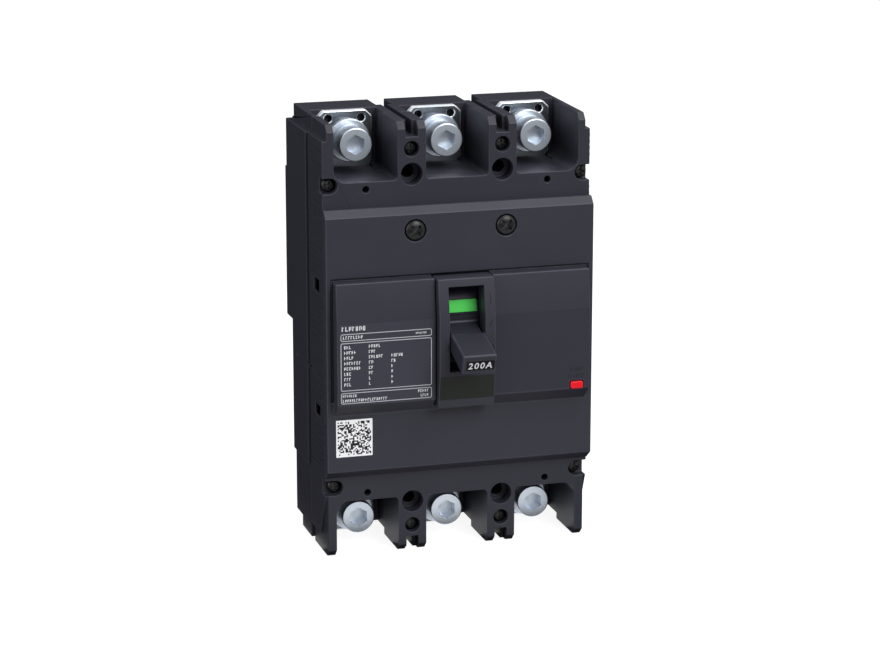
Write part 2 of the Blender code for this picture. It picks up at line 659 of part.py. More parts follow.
def make_middle_cover():
    """Front half of the case: terminal barriers, pole covers and the handle opening."""
    profile = [
        (MIDDLE_REAR, -HALF_HEIGHT), (MIDDLE_DEPTH - LUG_CHAMFER, -HALF_HEIGHT),
        (MIDDLE_DEPTH, -HALF_HEIGHT + LUG_CHAMFER), (MIDDLE_DEPTH, HALF_HEIGHT - LUG_CHAMFER),
        (MIDDLE_DEPTH - LUG_CHAMFER, HALF_HEIGHT), (MIDDLE_REAR, HALF_HEIGHT),
    ]
    body = prism(profile, "x", -MIDDLE_HALF, MIDDLE_HALF)
    rear = MIDDLE_REAR - OVERSHOOT
    front = MIDDLE_DEPTH + OVERSHOOT
    wall = MIDDLE_DEPTH - MIDDLE_WALL
    cuts = terminal_end_cuts(MIDDLE_REAR)
    for pole in POLES.values():
        x = pole * POLE_PITCH
        span = (x - CAVITY_HALF_WIDTH, x + CAVITY_HALF_WIDTH)
        cuts.append(block(span, (rear, wall), (-CAVITY_HALF_HEIGHT, CAVITY_HALF_HEIGHT)))
    below = -HALF_HEIGHT - OVERSHOOT
    recess = [
        (front, FOOT_RECESS_Z), (MIDDLE_DEPTH, FOOT_RECESS_Z), (FOOT_RECESS_TURN_DEPTH, FOOT_RECESS_TURN_Z),
        (rear, FOOT_RECESS_END_Z), (rear, below), (front, below),
    ]
    for side in SIDES.values():
        span = sorted((side * (MIDDLE_HALF - FOOT_RECESS_INSET), side * (MIDDLE_HALF + OVERSHOOT)))
        cuts.append(prism(recess, "x", *span))
    for x, end in each_pole_end():
        pocket = pocket_outline(x, end, POCKET_WIDTH)
        cuts.append(prism(pocket, "depth", rear, front))
    body = difference(body, *cuts)
    posts = []
    for x, end in each_pole_end():
        tongue = sorted((end * (CAVITY_HALF_HEIGHT + CLEAR), end * POCKET_FLOOR))
        span = (x - STRAP_HALF_WIDTH, x + STRAP_HALF_WIDTH)
        posts.append(block(span, (PAD_DEPTH + CLEAR, MIDDLE_REAR + OVERSHOOT), tongue))
    for side in SIDES.values():
        place = (side * BARRIER_X, COVER_SCREW_Z)
        post_end = MIDDLE_DEPTH - SCREW_POST_LENGTH
        posts.append(rod("depth", place, SCREW_POST_RADIUS, post_end, MIDDLE_DEPTH - CLEAR))
    body = union(body, *posts)
    drum = DRUM_RADIUS + DRUM_GAP
    cuts = [
        block(
            (-DRUM_HALF_WIDTH - DRUM_GAP, DRUM_HALF_WIDTH + DRUM_GAP), (wall - OVERSHOOT, front),
            (HANDLE_PIVOT_Z - drum, HANDLE_PIVOT_Z + drum),
        ),
        rod("depth", (BUTTON_X, BUTTON_Z), BUTTON_STEM_RADIUS + CLEAR, wall - OVERSHOOT, front, 12),
    ]
    for side in SIDES.values():
        place = (side * BARRIER_X, COVER_SCREW_Z)
        end_depth = COVER_SCREW_SEAT - COVER_SCREW_LENGTH - CLEAR
        cuts.append(rod("depth", place, COVER_SCREW_HOLE, end_depth, front, 12))
        for end in ENDS.values():
            mount = (side * BARRIER_X, end * MOUNT_Z)
            cuts.append(rod("depth", mount, MOUNT_HOLE_RADIUS, rear, front, 24))
            cuts.append(rod("depth", mount, MOUNT_BORE_RADIUS, MOUNT_SEAT_DEPTH, front, 32))
            gauge = (side * POLE_PITCH, end * GAUGE_HOLE_Z)
            gauge_end = MIDDLE_DEPTH - GAUGE_HOLE_LENGTH
            cuts.append(rod("depth", gauge, GAUGE_HOLE_RADIUS, gauge_end, front, 20))
    for name, x, z in case_screw_places():
        cuts.append(rod("depth", (x, z), SCREW_HOLE_RADIUS, rear, front, 12))
        cuts.append(rod("depth", (x, z), SCREW_RECESS_RADIUS, SCREW_SEAT - CLEAR, front, 24))
        if name.startswith("corner"):
            span = sorted((x, math.copysign(MIDDLE_HALF + OVERSHOOT, x)))
            height = (z - SCREW_RECESS_RADIUS, z + SCREW_RECESS_RADIUS)
            cuts.append(block(span, (SCREW_SEAT - CLEAR, front), height))
    piece("middle_cover", "case", difference(body, *cuts))


def panel_profile(wall):
    """Side outline of the nameplate panels, drawn in by a wall thickness."""
    return [
        (COVER_DEPTH - COVER_WALL - wall, PANEL_FOOT + wall),
        (COVER_DEPTH - wall, PANEL_FOOT + wall),
        (PANEL_DEPTH - wall, PANEL_BOTTOM + wall / 2),
        (PANEL_DEPTH - wall, PANEL_CREASE),
        (COVER_DEPTH + PANEL_TOP_PROUD - wall, PANEL_TOP - wall),
        (COVER_DEPTH - COVER_WALL - wall, PANEL_TOP - wall),
    ]


def button_outline(grow):
    """Trip button seen from the front: flat top and bottom, round ends."""
    half = BUTTON_HEIGHT / 2
    reach = BUTTON_WIDTH / 2
    spread = math.asin(half / reach)
    centre = (BUTTON_X, BUTTON_Z)
    right = arc(centre, reach + grow, -spread, spread, 4)
    left = arc(centre, reach + grow, math.pi - spread, math.pi + spread, 4)
    top = BUTTON_Z + half + grow
    bottom = BUTTON_Z - half - grow
    outline = []
    for x, z in right + left:
        if z > BUTTON_Z + half * 0.99:
            z = top
        elif z < BUTTON_Z - half * 0.99:
            z = bottom
        outline.append((x, z))
    return outline


def make_front_cover():
    """Front cover with its grooves, panels and openings."""
    front = COVER_DEPTH + OVERSHOOT
    profile = [
        (COVER_REAR, COVER_BOTTOM), (COVER_DEPTH, COVER_BOTTOM + COVER_BOTTOM_SLOPE),
        (COVER_DEPTH, COVER_TOP - COVER_TOP_SLOPE), (COVER_REAR + COVER_TOP_LEDGE, COVER_TOP),
        (COVER_REAR, COVER_TOP),
    ]
    body = prism(profile, "x", -COVER_HALF, COVER_HALF)
    groove_floor = COVER_DEPTH - GROOVE_DEPTH
    groove_edge = PANEL_HALF_WIDTH + GROOVE_WIDTH
    groove_top = PANEL_TOP + GROOVE_WIDTH
    cuts = [block((-groove_edge, groove_edge), (groove_floor, front), (PANEL_FOOT, groove_top))]
    body = difference(body, *cuts)
    panels = prism(panel_profile(0), "x", -PANEL_HALF_WIDTH, PANEL_HALF_WIDTH)
    foot_depth = (groove_floor - CLEAR, COVER_DEPTH)
    foot = block((-groove_edge, groove_edge), foot_depth, (PANEL_FOOT, PANEL_BOTTOM))
    bosses = []
    for side in SIDES.values():
        place = (side * BARRIER_X, COVER_SCREW_Z)
        boss_front = COVER_DEPTH - COVER_WALL / 2
        bosses.append(rod("depth", place, COVER_SCREW_BOSS_RADIUS, COVER_REAR, boss_front, 20))
    inner_rear = COVER_REAR - OVERSHOOT
    inner_half = COVER_HALF - COVER_WALL
    hollow_height = (COVER_BOTTOM + 2 * COVER_WALL, COVER_TOP - 2 * COVER_WALL)
    hollow = block((-inner_half, inner_half), (inner_rear, COVER_DEPTH - COVER_WALL), hollow_height)
    body = difference(body, hollow)
    body = union(body, panels, foot, *bosses)
    panel_inner = PANEL_HALF_WIDTH - COVER_WALL
    opening = ESCUTCHEON_HALF_WIDTH + CLEAR
    panel_front = PANEL_DEPTH + OVERSHOOT
    cuts = [
        prism(panel_profile(COVER_WALL), "x", -panel_inner, panel_inner),
        block((-opening, opening), (inner_rear, panel_front), (ESCUTCHEON_FOOT - CLEAR, PANEL_TOP + CLEAR)),
        prism(button_outline(CLEAR), "depth", inner_rear, panel_front),
    ]
    for side in SIDES.values():
        place = (side * BARRIER_X, COVER_SCREW_Z)
        cuts.append(rod("depth", place, COVER_SCREW_HOLE, inner_rear, front, 12))
        head_room = COVER_SCREW_HEAD_RADIUS + CLEAR
        cuts.append(rod("depth", place, head_room, COVER_SCREW_SEAT - CLEAR, front, 32))
    piece("front_cover", "cover", difference(body, *cuts))


def make_escutcheon():
    """Raised frame round the handle window, seated on the middle cover."""
    profile = [
        (COVER_REAR, ESCUTCHEON_FOOT), (COVER_DEPTH + ESCUTCHEON_FOOT_PROUD, ESCUTCHEON_FOOT),
        (COVER_DEPTH + ESCUTCHEON_PROUD, ESCUTCHEON_BEND), (COVER_DEPTH + ESCUTCHEON_PROUD, PANEL_CREASE),
        (COVER_DEPTH + ESCUTCHEON_TOP_PROUD, PANEL_TOP), (COVER_REAR, PANEL_TOP),
    ]
    body = prism(profile, "x", -ESCUTCHEON_HALF_WIDTH, ESCUTCHEON_HALF_WIDTH)
    far = COVER_DEPTH + ESCUTCHEON_PROUD + OVERSHOOT
    room = DRUM_HALF_WIDTH + DRUM_GAP
    drum = rod("x", (HANDLE_PIVOT_DEPTH, HANDLE_PIVOT_Z), DRUM_RADIUS + DRUM_GAP, -room, room, 48)
    window_depth = (COVER_REAR - OVERSHOOT, far)
    window = block((-WINDOW_HALF_WIDTH, WINDOW_HALF_WIDTH), window_depth, (WINDOW_BOTTOM, WINDOW_TOP))
    piece("handle_escutcheon", "cover", difference(body, drum, window))


def spring_channels():
    """Room for the two main springs, from the yoke's pin to the toggle's knee, beside the handle's hub."""
    knee, _ = knee_place()
    forward, up = turn_up(knee.x - HANDLE_PIVOT_DEPTH, knee.y - HANDLE_PIVOT_Z, -HANDLE_OFF_TILT)
    room = MAIN_SPRING_RADIUS + MAIN_SPRING_WIRE + CLEAR
    outline = capsule((-YOKE_REACH, 0), (forward, up), room)
    channels = []
    for side in SIDES.values():
        x = side * MAIN_SPRING_X
        channels.append(prism(outline, "x", x - room, x + room))
    return channels


def make_handle():
    """Handle, its OFF strip and its steel yoke, on the handle's axis."""
    axis = axis_empty("handle_axis", HANDLE_PIVOT_DEPTH, HANDLE_PIVOT_Z, HANDLE_OFF_TILT)
    drum = arc((0, 0), DRUM_RADIUS, DRUM_LOWER_ANGLE, DRUM_UPPER_ANGLE, 20)
    hub = arc((0, 0), HUB_RADIUS, DRUM_UPPER_ANGLE, 2 * math.pi + DRUM_LOWER_ANGLE, 10)
    body = prism(drum + hub, "x", -DRUM_HALF_WIDTH, DRUM_HALF_WIDTH)
    neck = rectangle((DRUM_RADIUS / 2, -NECK_THICKNESS / 2), (GRIP_START + OVERSHOOT, NECK_THICKNESS / 2))
    half_root = GRIP_ROOT_THICKNESS / 2
    half_tip = GRIP_TIP_THICKNESS / 2
    grip = [
        (GRIP_START, -half_root), (GRIP_END, -half_tip), (GRIP_END, half_tip), (GRIP_START, half_root),
    ]
    trunnion = FRAME_INNER + FRAME_PLATE + CLEAR
    body = union(
        body,
        prism(neck, "x", -NECK_HALF_WIDTH, NECK_HALF_WIDTH),
        prism(grip, "x", -GRIP_HALF_WIDTH, GRIP_HALF_WIDTH),
        rod("x", (0, 0), TRUNNION_RADIUS, -trunnion, trunnion),
    )
    inner = DRUM_RADIUS - FLAG_THICKNESS
    margin = CLEAR / DRUM_RADIUS
    seat = arc((0, 0), inner - CLEAR, FLAG_LOWER_ANGLE - margin, FLAG_UPPER_ANGLE + margin, 6)
    seat += arc((0, 0), DRUM_RADIUS + OVERSHOOT, FLAG_UPPER_ANGLE + margin, FLAG_LOWER_ANGLE - margin, 6)
    body = difference(body, prism(seat, "x", -FLAG_HALF_WIDTH - CLEAR, FLAG_HALF_WIDTH + CLEAR))
    body = difference(body, *spring_channels())
    piece("handle", "grip", body, axis)
    flag = arc((0, 0), inner, FLAG_LOWER_ANGLE, FLAG_UPPER_ANGLE, 6)
    flag += arc((0, 0), DRUM_RADIUS, FLAG_UPPER_ANGLE, FLAG_LOWER_ANGLE, 6)
    piece("off_flag", "green", prism(flag, "x", -FLAG_HALF_WIDTH, FLAG_HALF_WIDTH), axis)
    plate = rectangle((-YOKE_REACH, -YOKE_THICKNESS / 2), (-HUB_RADIUS - CLEAR, YOKE_THICKNESS / 2))
    pin = rod("x", (-YOKE_REACH, 0), YOKE_PIN_RADIUS, -SPRING_PIN_HALF_LENGTH, SPRING_PIN_HALF_LENGTH, 10)
    yoke = union(prism(plate, "x", -YOKE_HALF_WIDTH, YOKE_HALF_WIDTH), pin)
    piece("handle_yoke", "steel", yoke, axis)


def make_trip_button():
    """Red trip button with its stem and return spring."""
    face = PANEL_DEPTH + BUTTON_PROUD
    flange_front = PANEL_DEPTH - COVER_WALL - CLEAR
    flange_rear = flange_front - BUTTON_FLANGE_THICKNESS
    place = (BUTTON_X, BUTTON_Z)
    stem_end = BUTTON_TAB_DEPTH + CLEAR
    lug_x = (BUTTON_X - BUTTON_WIDTH / 2 - BUTTON_FLANGE, BUTTON_X + BUTTON_WIDTH / 4)
    lug_z = (BUTTON_Z + CLEAR, BUTTON_Z + BUTTON_HEIGHT / 2 + BUTTON_FLANGE)
    body = union(
        prism(button_outline(0), "depth", flange_rear, face),
        block(lug_x, (flange_rear, flange_front), lug_z),
        rod("depth", place, BUTTON_STEM_RADIUS, stem_end, flange_rear + OVERSHOOT / 2, 12),
    )
    piece("trip_button", "red", body, pivot=(BUTTON_X, -PANEL_DEPTH, BUTTON_Z))
    radius = BUTTON_STEM_RADIUS + CLEAR + BUTTON_SPRING_WIRE
    start = Vector((BUTTON_X, -(COVER_REAR + BUTTON_SPRING_WIRE), BUTTON_Z))
    end = Vector((BUTTON_X, -(flange_rear - CLEAR - BUTTON_SPRING_WIRE), BUTTON_Z))
    wire = coil(start, end, radius, BUTTON_SPRING_WIRE, BUTTON_SPRING_TURNS)
    piece("trip_button_spring", "spring", wire)


def screw(shank_radius, end, seat, head_radius, head_height, place):
    """Pan head screw along the depth of the case."""
    head = rod("depth", place, head_radius, seat, seat + head_height, 16)
    shank = rod("depth", place, shank_radius, end, seat + head_height / 2, 10)
    return union(head, shank)


def make_screws():
    """Screws of the case and of the front cover."""
    for name, x, z in case_screw_places():
        body = screw(
            SCREW_SHANK_RADIUS, SCREW_END, SCREW_SEAT, SCREW_HEAD_RADIUS, SCREW_HEAD_HEIGHT, (x, z),
        )
        piece(name, "black_screw", body, pivot=(x, -SCREW_SEAT, z))
    for side_name, side in SIDES.items():
        x = side * BARRIER_X
        body = screw(
            COVER_SCREW_SHANK_RADIUS, COVER_SCREW_SEAT - COVER_SCREW_LENGTH, COVER_SCREW_SEAT,
            COVER_SCREW_HEAD_RADIUS, COVER_SCREW_HEAD_HEIGHT, (x, COVER_SCREW_Z),
        )
        piece(f"cover_screw_{side_name}", "black_screw", body, pivot=(x, -COVER_SCREW_SEAT, COVER_SCREW_Z))


def pad_plate(x, end):
    """Terminal pad with chamfered outer corners and its three holes."""
    edge = PAD_HALF_WIDTH
    inner = end * (POCKET_FLOOR + CLEAR)
    outer = end * PAD_END
    shoulder = end * (PAD_END - PAD_CHAMFER)
    outline = [
        (x - edge + POCKET_RADIUS, inner), (x + edge - POCKET_RADIUS, inner),
        (x + edge, inner + end * POCKET_RADIUS), (x + edge, shoulder), (x + edge - PAD_CHAMFER, outer),
        (x - edge + PAD_CHAMFER, outer), (x - edge, shoulder), (x - edge, inner + end * POCKET_RADIUS),
    ]
    return prism(outline, "depth", PAD_REAR, PAD_DEPTH)


def strap_profile(end, strap_end, contact):
    """Side outline of a conductor from its pad down to the floor of the base."""
    leg = end * (CAVITY_HALF_HEIGHT - 2 * CLEAR)
    leg_inner = leg - end * STRAP_THICKNESS
    pad_inside = end * (POCKET_FLOOR + POCKET_RADIUS)
    outline = [
        (PAD_REAR, pad_inside), (PAD_DEPTH, pad_inside), (PAD_DEPTH, leg_inner), (STRAP_FRONT, leg_inner),
    ]
    if contact:
        top = FIXED_CONTACT_Z + FIXED_CONTACT_HALF_HEIGHT
        bottom = FIXED_CONTACT_Z - FIXED_CONTACT_HALF_HEIGHT
        raised = STRAP_FRONT + FIXED_CONTACT_HEIGHT
        outline += [(STRAP_FRONT, top), (raised, top), (raised, bottom), (STRAP_FRONT, bottom)]
    outline += [(STRAP_FRONT, strap_end), (STRAP_REAR, strap_end), (STRAP_REAR, leg), (PAD_REAR, leg)]
    return outline


def make_terminals():
    """Line and load conductors with their pads, bolts and washers."""
    for pole_name, pole in POLES.items():
        x = pole * POLE_PITCH
        for end_name, end in ENDS.items():
            line = end_name == "top"
            strap_end = LINE_STRAP_END if line else LOAD_STRAP_END
            profile = strap_profile(end, strap_end, line)
            strap = prism(profile, "x", x - STRAP_HALF_WIDTH, x + STRAP_HALF_WIDTH)
            body = union(pad_plate(x, end), strap)
            through = (PAD_REAR - OVERSHOOT, PAD_DEPTH + OVERSHOOT)
            cuts = [rod("depth", (x, end * BOLT_Z), BOLT_HOLE_RADIUS, *through)]
            for hole in both_ways(lambda side: x + side * PAD_HOLE_X):
                place = (hole, end * (PAD_END - PAD_HOLE_INSET))
                cuts.append(rod("depth", place, PAD_HOLE_RADIUS, *through, 20))
            role = "line" if line else "load"
            piece(f"{role}_terminal_{pole_name}", "tinned", difference(body, *cuts))
            make_bolt(f"{end_name}_{pole_name}", x, end * BOLT_Z)


def make_bolt(place_name, x, z):
    """Socket cap bolt with the spring ring and flat washer under its head."""
    place = (x, z)
    head = rod("depth", place, BOLT_HEAD_RADIUS, BOLT_HEAD_REAR, BOLT_HEAD_REAR + BOLT_HEAD_HEIGHT, 24)
    shank = rod("depth", place, BOLT_RADIUS, BOLT_HEAD_REAR - BOLT_LENGTH, BOLT_HEAD_REAR + CLEAR)
    face = BOLT_HEAD_REAR + BOLT_HEAD_HEIGHT
    corner = math.pi / 6
    hexagon = arc(place, BOLT_SOCKET_RADIUS, corner, corner + 5 * math.pi / 3, 5)
    socket = prism(hexagon, "depth", face - BOLT_SOCKET_DEPTH, face + OVERSHOOT)
    bolt = difference(union(head, shank), socket)
    piece(f"terminal_bolt_{place_name}", "bolt", bolt, pivot=(x, -BOLT_HEAD_REAR, z))
    spring = rod("depth", place, SPRING_RING_RADIUS, SPRING_RING_REAR, WASHER_REAR + CLEAR, 24)
    flat = rod("depth", place, FLAT_WASHER_RADIUS, WASHER_REAR, WASHER_FRONT, 24)
    hole = rod("depth", place, BOLT_HOLE_RADIUS, SPRING_RING_REAR - OVERSHOOT, BOLT_HEAD_REAR + OVERSHOOT)
    washers = difference(union(flat, spring), hole)
    piece(f"washer_set_{place_name}", "bolt", washers, pivot=(x, -SPRING_RING_REAR, z))


def make_contacts():
    """Crossbar and moving contact arms on the crossbar's axis, and the braids to the load side."""
    axis = axis_empty("crossbar_axis", CROSSBAR_DEPTH, CROSSBAR_Z, CROSSBAR_OPEN_TILT)
    body = rod("x", (0, 0), CROSSBAR_RADIUS, -CROSSBAR_HALF_LENGTH, CROSSBAR_HALF_LENGTH, 20)
    cheek = capsule((0, 0), (DRIVE_PIN_FORWARD, DRIVE_PIN_UP), DRIVE_CHEEK_RADIUS)
    pin_end = DRIVE_CHEEK_OUTER - CLEAR
    drive = [rod("x", (DRIVE_PIN_FORWARD, DRIVE_PIN_UP), DRIVE_PIN_RADIUS, -pin_end, pin_end, 10)]
    for side in SIDES.values():
        span = sorted((side * DRIVE_CHEEK_INNER, side * DRIVE_CHEEK_OUTER))
        drive.append(prism(cheek, "x", *span))
    body = union(body, *drive)
    cuts = []
    far = 2 * CROSSBAR_RADIUS
    journal = circle((0, 0), CROSSBAR_JOURNAL_RADIUS, 20)
    for side in SIDES.values():
        x = side * BARRIER_X
        span = (x - PARTITION / 2 - CLEAR, x + PARTITION / 2 + CLEAR)
        ring = difference(
            rod("x", (0, 0), far, *span),
            prism(journal, "x", span[0] - OVERSHOOT, span[1] + OVERSHOOT),
        )
        cuts.append(ring)
    slot = rectangle(
        (-ARM_HALF_THICKNESS - CLEAR, -ARM_SEAT - CLEAR),
        (ARM_HALF_THICKNESS + CLEAR, CROSSBAR_RADIUS + OVERSHOOT),
    )
    for pole in POLES.values():
        x = pole * POLE_PITCH
        cuts.append(prism(slot, "x", x - ARM_HALF_WIDTH - CLEAR, x + ARM_HALF_WIDTH + CLEAR))
    piece("crossbar", "insulator", difference(body, *cuts), axis)
    contact_reach = FIXED_CONTACT_Z - CROSSBAR_Z
    contact_face = STRAP_FRONT + FIXED_CONTACT_HEIGHT + CLEAR - CROSSBAR_DEPTH
    low = contact_reach - FIXED_CONTACT_HALF_HEIGHT
    high = contact_reach + FIXED_CONTACT_HALF_HEIGHT
    outline = [
        (-ARM_HALF_THICKNESS, -ARM_SEAT), (ARM_HALF_THICKNESS, -ARM_SEAT), (ARM_HALF_THICKNESS, ARM_REACH),
        (-ARM_HALF_THICKNESS, ARM_REACH), (contact_face, high), (contact_face, low),
        (-ARM_HALF_THICKNESS, low),
    ]
    for pole_name, pole in POLES.items():
        x = pole * POLE_PITCH
        arm = prism(outline, "x", x - ARM_HALF_WIDTH, x + ARM_HALF_WIDTH)
        piece(f"contact_arm_{pole_name}", "copper", arm, axis)
        piece(f"flexible_shunt_{pole_name}", "braid", shunt(x))


def shunt(x):
    """Braid from the load strap, behind the crossbar, to the back of the open contact arm."""
    lean = -ARM_HALF_THICKNESS - CLEAR - SHUNT_THICKNESS / 2
    lower = turn_up(lean, CROSSBAR_RADIUS + SHUNT_THICKNESS, CROSSBAR_OPEN_TILT)
    upper = turn_up(lean, 2 * CROSSBAR_RADIUS, CROSSBAR_OPEN_TILT)
    start_depth = STRAP_FRONT + CLEAR + SHUNT_THICKNESS / 2
    behind = CROSSBAR_DEPTH - CROSSBAR_RADIUS - SHUNT_THICKNESS
    path = [
        (start_depth, LOAD_STRAP_END - SHUNT_FOOT),
        (start_depth, LOAD_STRAP_END),
        (behind, CROSSBAR_Z - CROSSBAR_RADIUS),
        (behind, CROSSBAR_Z),
        (behind + SHUNT_THICKNESS, CROSSBAR_Z + CROSSBAR_RADIUS),
        (CROSSBAR_DEPTH + lower[0], CROSSBAR_Z + lower[1]),
        (CROSSBAR_DEPTH + upper[0], CROSSBAR_Z + upper[1]),
    ]
    return prism(ribbon(path, SHUNT_THICKNESS), "x", x - SHUNT_HALF_WIDTH, x + SHUNT_HALF_WIDTH)


def make_arc_chutes():
    """Splitter plates between two side cheeks over each pair of contacts."""
    half = CAVITY_HALF_WIDTH - CLEAR
    cheek = half - CHUTE_SIDE
    span = CHUTE_FRONT_DEPTH - CHUTE_REAR_DEPTH
    for pole_name, pole in POLES.items():
        x = pole * POLE_PITCH
        notch = SPLITTER_NOTCH_HALF_WIDTH
        edge = cheek + CHUTE_SIDE / 2
        outline = [
            (x - edge, CHUTE_BOTTOM_Z + CLEAR), (x - notch, CHUTE_BOTTOM_Z + CLEAR),
            (x, CHUTE_BOTTOM_Z + SPLITTER_NOTCH_DEPTH), (x + notch, CHUTE_BOTTOM_Z + CLEAR),
            (x + edge, CHUTE_BOTTOM_Z + CLEAR), (x + edge, CHUTE_TOP_Z - CLEAR),
            (x - edge, CHUTE_TOP_Z - CLEAR),
        ]
        plates = []
        for index in range(SPLITTER_COUNT):
            middle = CHUTE_REAR_DEPTH + span * (index + 0.5) / SPLITTER_COUNT
            rear = middle - SPLITTER_THICKNESS / 2
            plates.append(prism(outline, "depth", rear, rear + SPLITTER_THICKNESS))
        for side in SIDES.values():
            wall = sorted((x + side * cheek, x + side * half))
            plates.append(block(wall, (CHUTE_REAR_DEPTH, CHUTE_FRONT_DEPTH), (CHUTE_BOTTOM_Z, CHUTE_TOP_Z)))
        piece(f"arc_chute_{pole_name}", "steel", union(plates[0], *plates[1:]))


def knee_place():
    """Depth and z of the toggle's knee with the contacts open."""
    forward, up = turn_up(DRIVE_PIN_FORWARD, DRIVE_PIN_UP, CROSSBAR_OPEN_TILT)
    pin = Vector((CROSSBAR_DEPTH + forward, CROSSBAR_Z + up))
    pivot = Vector((LINK_PIVOT_DEPTH, LINK_PIVOT_Z))
    run = pivot - pin
    rise = math.sqrt(LINK_LENGTH ** 2 - run.length_squared / 4)
    normal = Vector((-run.y, run.x)).normalized()
    return (pin + pivot) / 2 + normal * rise, pin


def make_mechanism():
    """Side plates, cradle, toggle links and main springs of the operating mechanism."""
    hole = TRUNNION_RADIUS + CLEAR
    notch_radius = CROSSBAR_RADIUS + 2 * CLEAR
    rear = FLOOR + CLEAR
    outline = [(rear, FRAME_BOTTOM_Z), (rear, CROSSBAR_Z - notch_radius)]
    outline += arc((CROSSBAR_DEPTH, CROSSBAR_Z), notch_radius, -math.pi / 2, math.pi / 2, 8)
    outline += [
        (rear, CROSSBAR_Z + notch_radius), (rear, FRAME_TOP_Z), (FRAME_FRONT_DEPTH, FRAME_TOP_Z),
        (FRAME_FRONT_DEPTH, FRAME_BOTTOM_Z),
    ]
    outer = FRAME_INNER + FRAME_PLATE
    plates = both_ways(lambda side: prism(outline, "x", *sorted((side * FRAME_INNER, side * outer))))
    bridges = [
        block(
            (-outer + CLEAR, outer - CLEAR), (UPPER_BRIDGE_DEPTH, UPPER_BRIDGE_DEPTH + BRIDGE_LENGTH),
            (FRAME_TOP_Z - FRAME_BRIDGE, FRAME_TOP_Z),
        ),
        block(
            (-outer + CLEAR, outer - CLEAR), (LOWER_BRIDGE_DEPTH, LOWER_BRIDGE_DEPTH + BRIDGE_LENGTH),
            (FRAME_BOTTOM_Z, FRAME_BOTTOM_Z + FRAME_BRIDGE),
        ),
    ]
    body = union(plates[0], plates[1], *bridges)
    past = outer + OVERSHOOT
    cuts = [
        rod("x", (HANDLE_PIVOT_DEPTH, HANDLE_PIVOT_Z), hole, -past, past, 12),
        rod("x", (CRADLE_PIVOT_DEPTH, CRADLE_PIVOT_Z), LINK_PIN_RADIUS + CLEAR, -past, past, 12),
    ]
    piece("mechanism_frame", "steel", difference(body, *cuts))

    pivot = (LINK_PIVOT_DEPTH, LINK_PIVOT_Z)
    cradle_pivot = (CRADLE_PIVOT_DEPTH, CRADLE_PIVOT_Z)
    link_outer = LINK_HALF_WIDTH + CHEEK_THICKNESS
    nose = (CRADLE_NOSE_DEPTH, CRADLE_NOSE_Z)
    lever = [
        prism(capsule(cradle_pivot, pivot, LINK_EYE_RADIUS), "x", -CRADLE_HALF, CRADLE_HALF),
        prism(capsule(nose, pivot, LINK_PIN_RADIUS), "x", -CRADLE_HALF, CRADLE_HALF),
        rod("x", pivot, LINK_PIN_RADIUS, -link_outer, link_outer, 12),
        rod("x", cradle_pivot, LINK_PIN_RADIUS, -outer - CLEAR, outer + CLEAR, 12),
    ]
    piece("cradle", "steel", union(lever[0], *lever[1:]), pivot=(0, -CRADLE_PIVOT_DEPTH, CRADLE_PIVOT_Z))

    knee, pin = knee_place()
    link = prism(capsule(pivot, tuple(knee), LINK_EYE_RADIUS), "x", -link_outer, link_outer)
    wide = LINK_EYE_RADIUS + OVERSHOOT
    past = link_outer + OVERSHOOT
    middle = prism(capsule(pivot, tuple(knee), wide), "x", -LINK_HALF_WIDTH, LINK_HALF_WIDTH)
    bore = rod("x", pivot, LINK_PIN_RADIUS + CLEAR, -past, past, 12)
    link = difference(link, middle, bore)
    knee_pin = rod("x", tuple(knee), LINK_PIN_RADIUS, -SPRING_PIN_HALF_LENGTH, SPRING_PIN_HALF_LENGTH, 12)
    piece("upper_link", "steel", union(link, knee_pin), pivot=(0, -LINK_PIVOT_DEPTH, LINK_PIVOT_Z))

    play = DRIVE_PIN_RADIUS + OPEN_PIVOT_PLAY
    link = prism(capsule(tuple(knee), tuple(pin), LINK_EYE_RADIUS), "x", -LOWER_LINK_HALF, LOWER_LINK_HALF)
    bores = [
        rod("x", tuple(knee), LINK_PIN_RADIUS + CLEAR, -past, past, 12),
        rod("x", tuple(pin), play, -past, past, 12),
    ]
    piece("lower_link", "steel", difference(link, *bores), pivot=(0, -knee.x, knee.y))

    forward, up = turn_up(-YOKE_REACH, 0, HANDLE_OFF_TILT)
    yoke = Vector((HANDLE_PIVOT_DEPTH + forward, HANDLE_PIVOT_Z + up))
    run = (yoke - knee).normalized()
    lower = knee + run * (LINK_PIN_RADIUS + CLEAR + 2 * MAIN_SPRING_WIRE)
    upper = yoke - run * (YOKE_PIN_RADIUS + CLEAR + 2 * MAIN_SPRING_WIRE)
    for side_name, side in SIDES.items():
        x = side * MAIN_SPRING_X
        wire = coil(
            Vector((x, -lower.x, lower.y)), Vector((x, -upper.x, upper.y)),
            MAIN_SPRING_RADIUS, MAIN_SPRING_WIRE, MAIN_SPRING_TURNS,
        )
        piece(f"main_spring_{side_name}", "spring", wire)


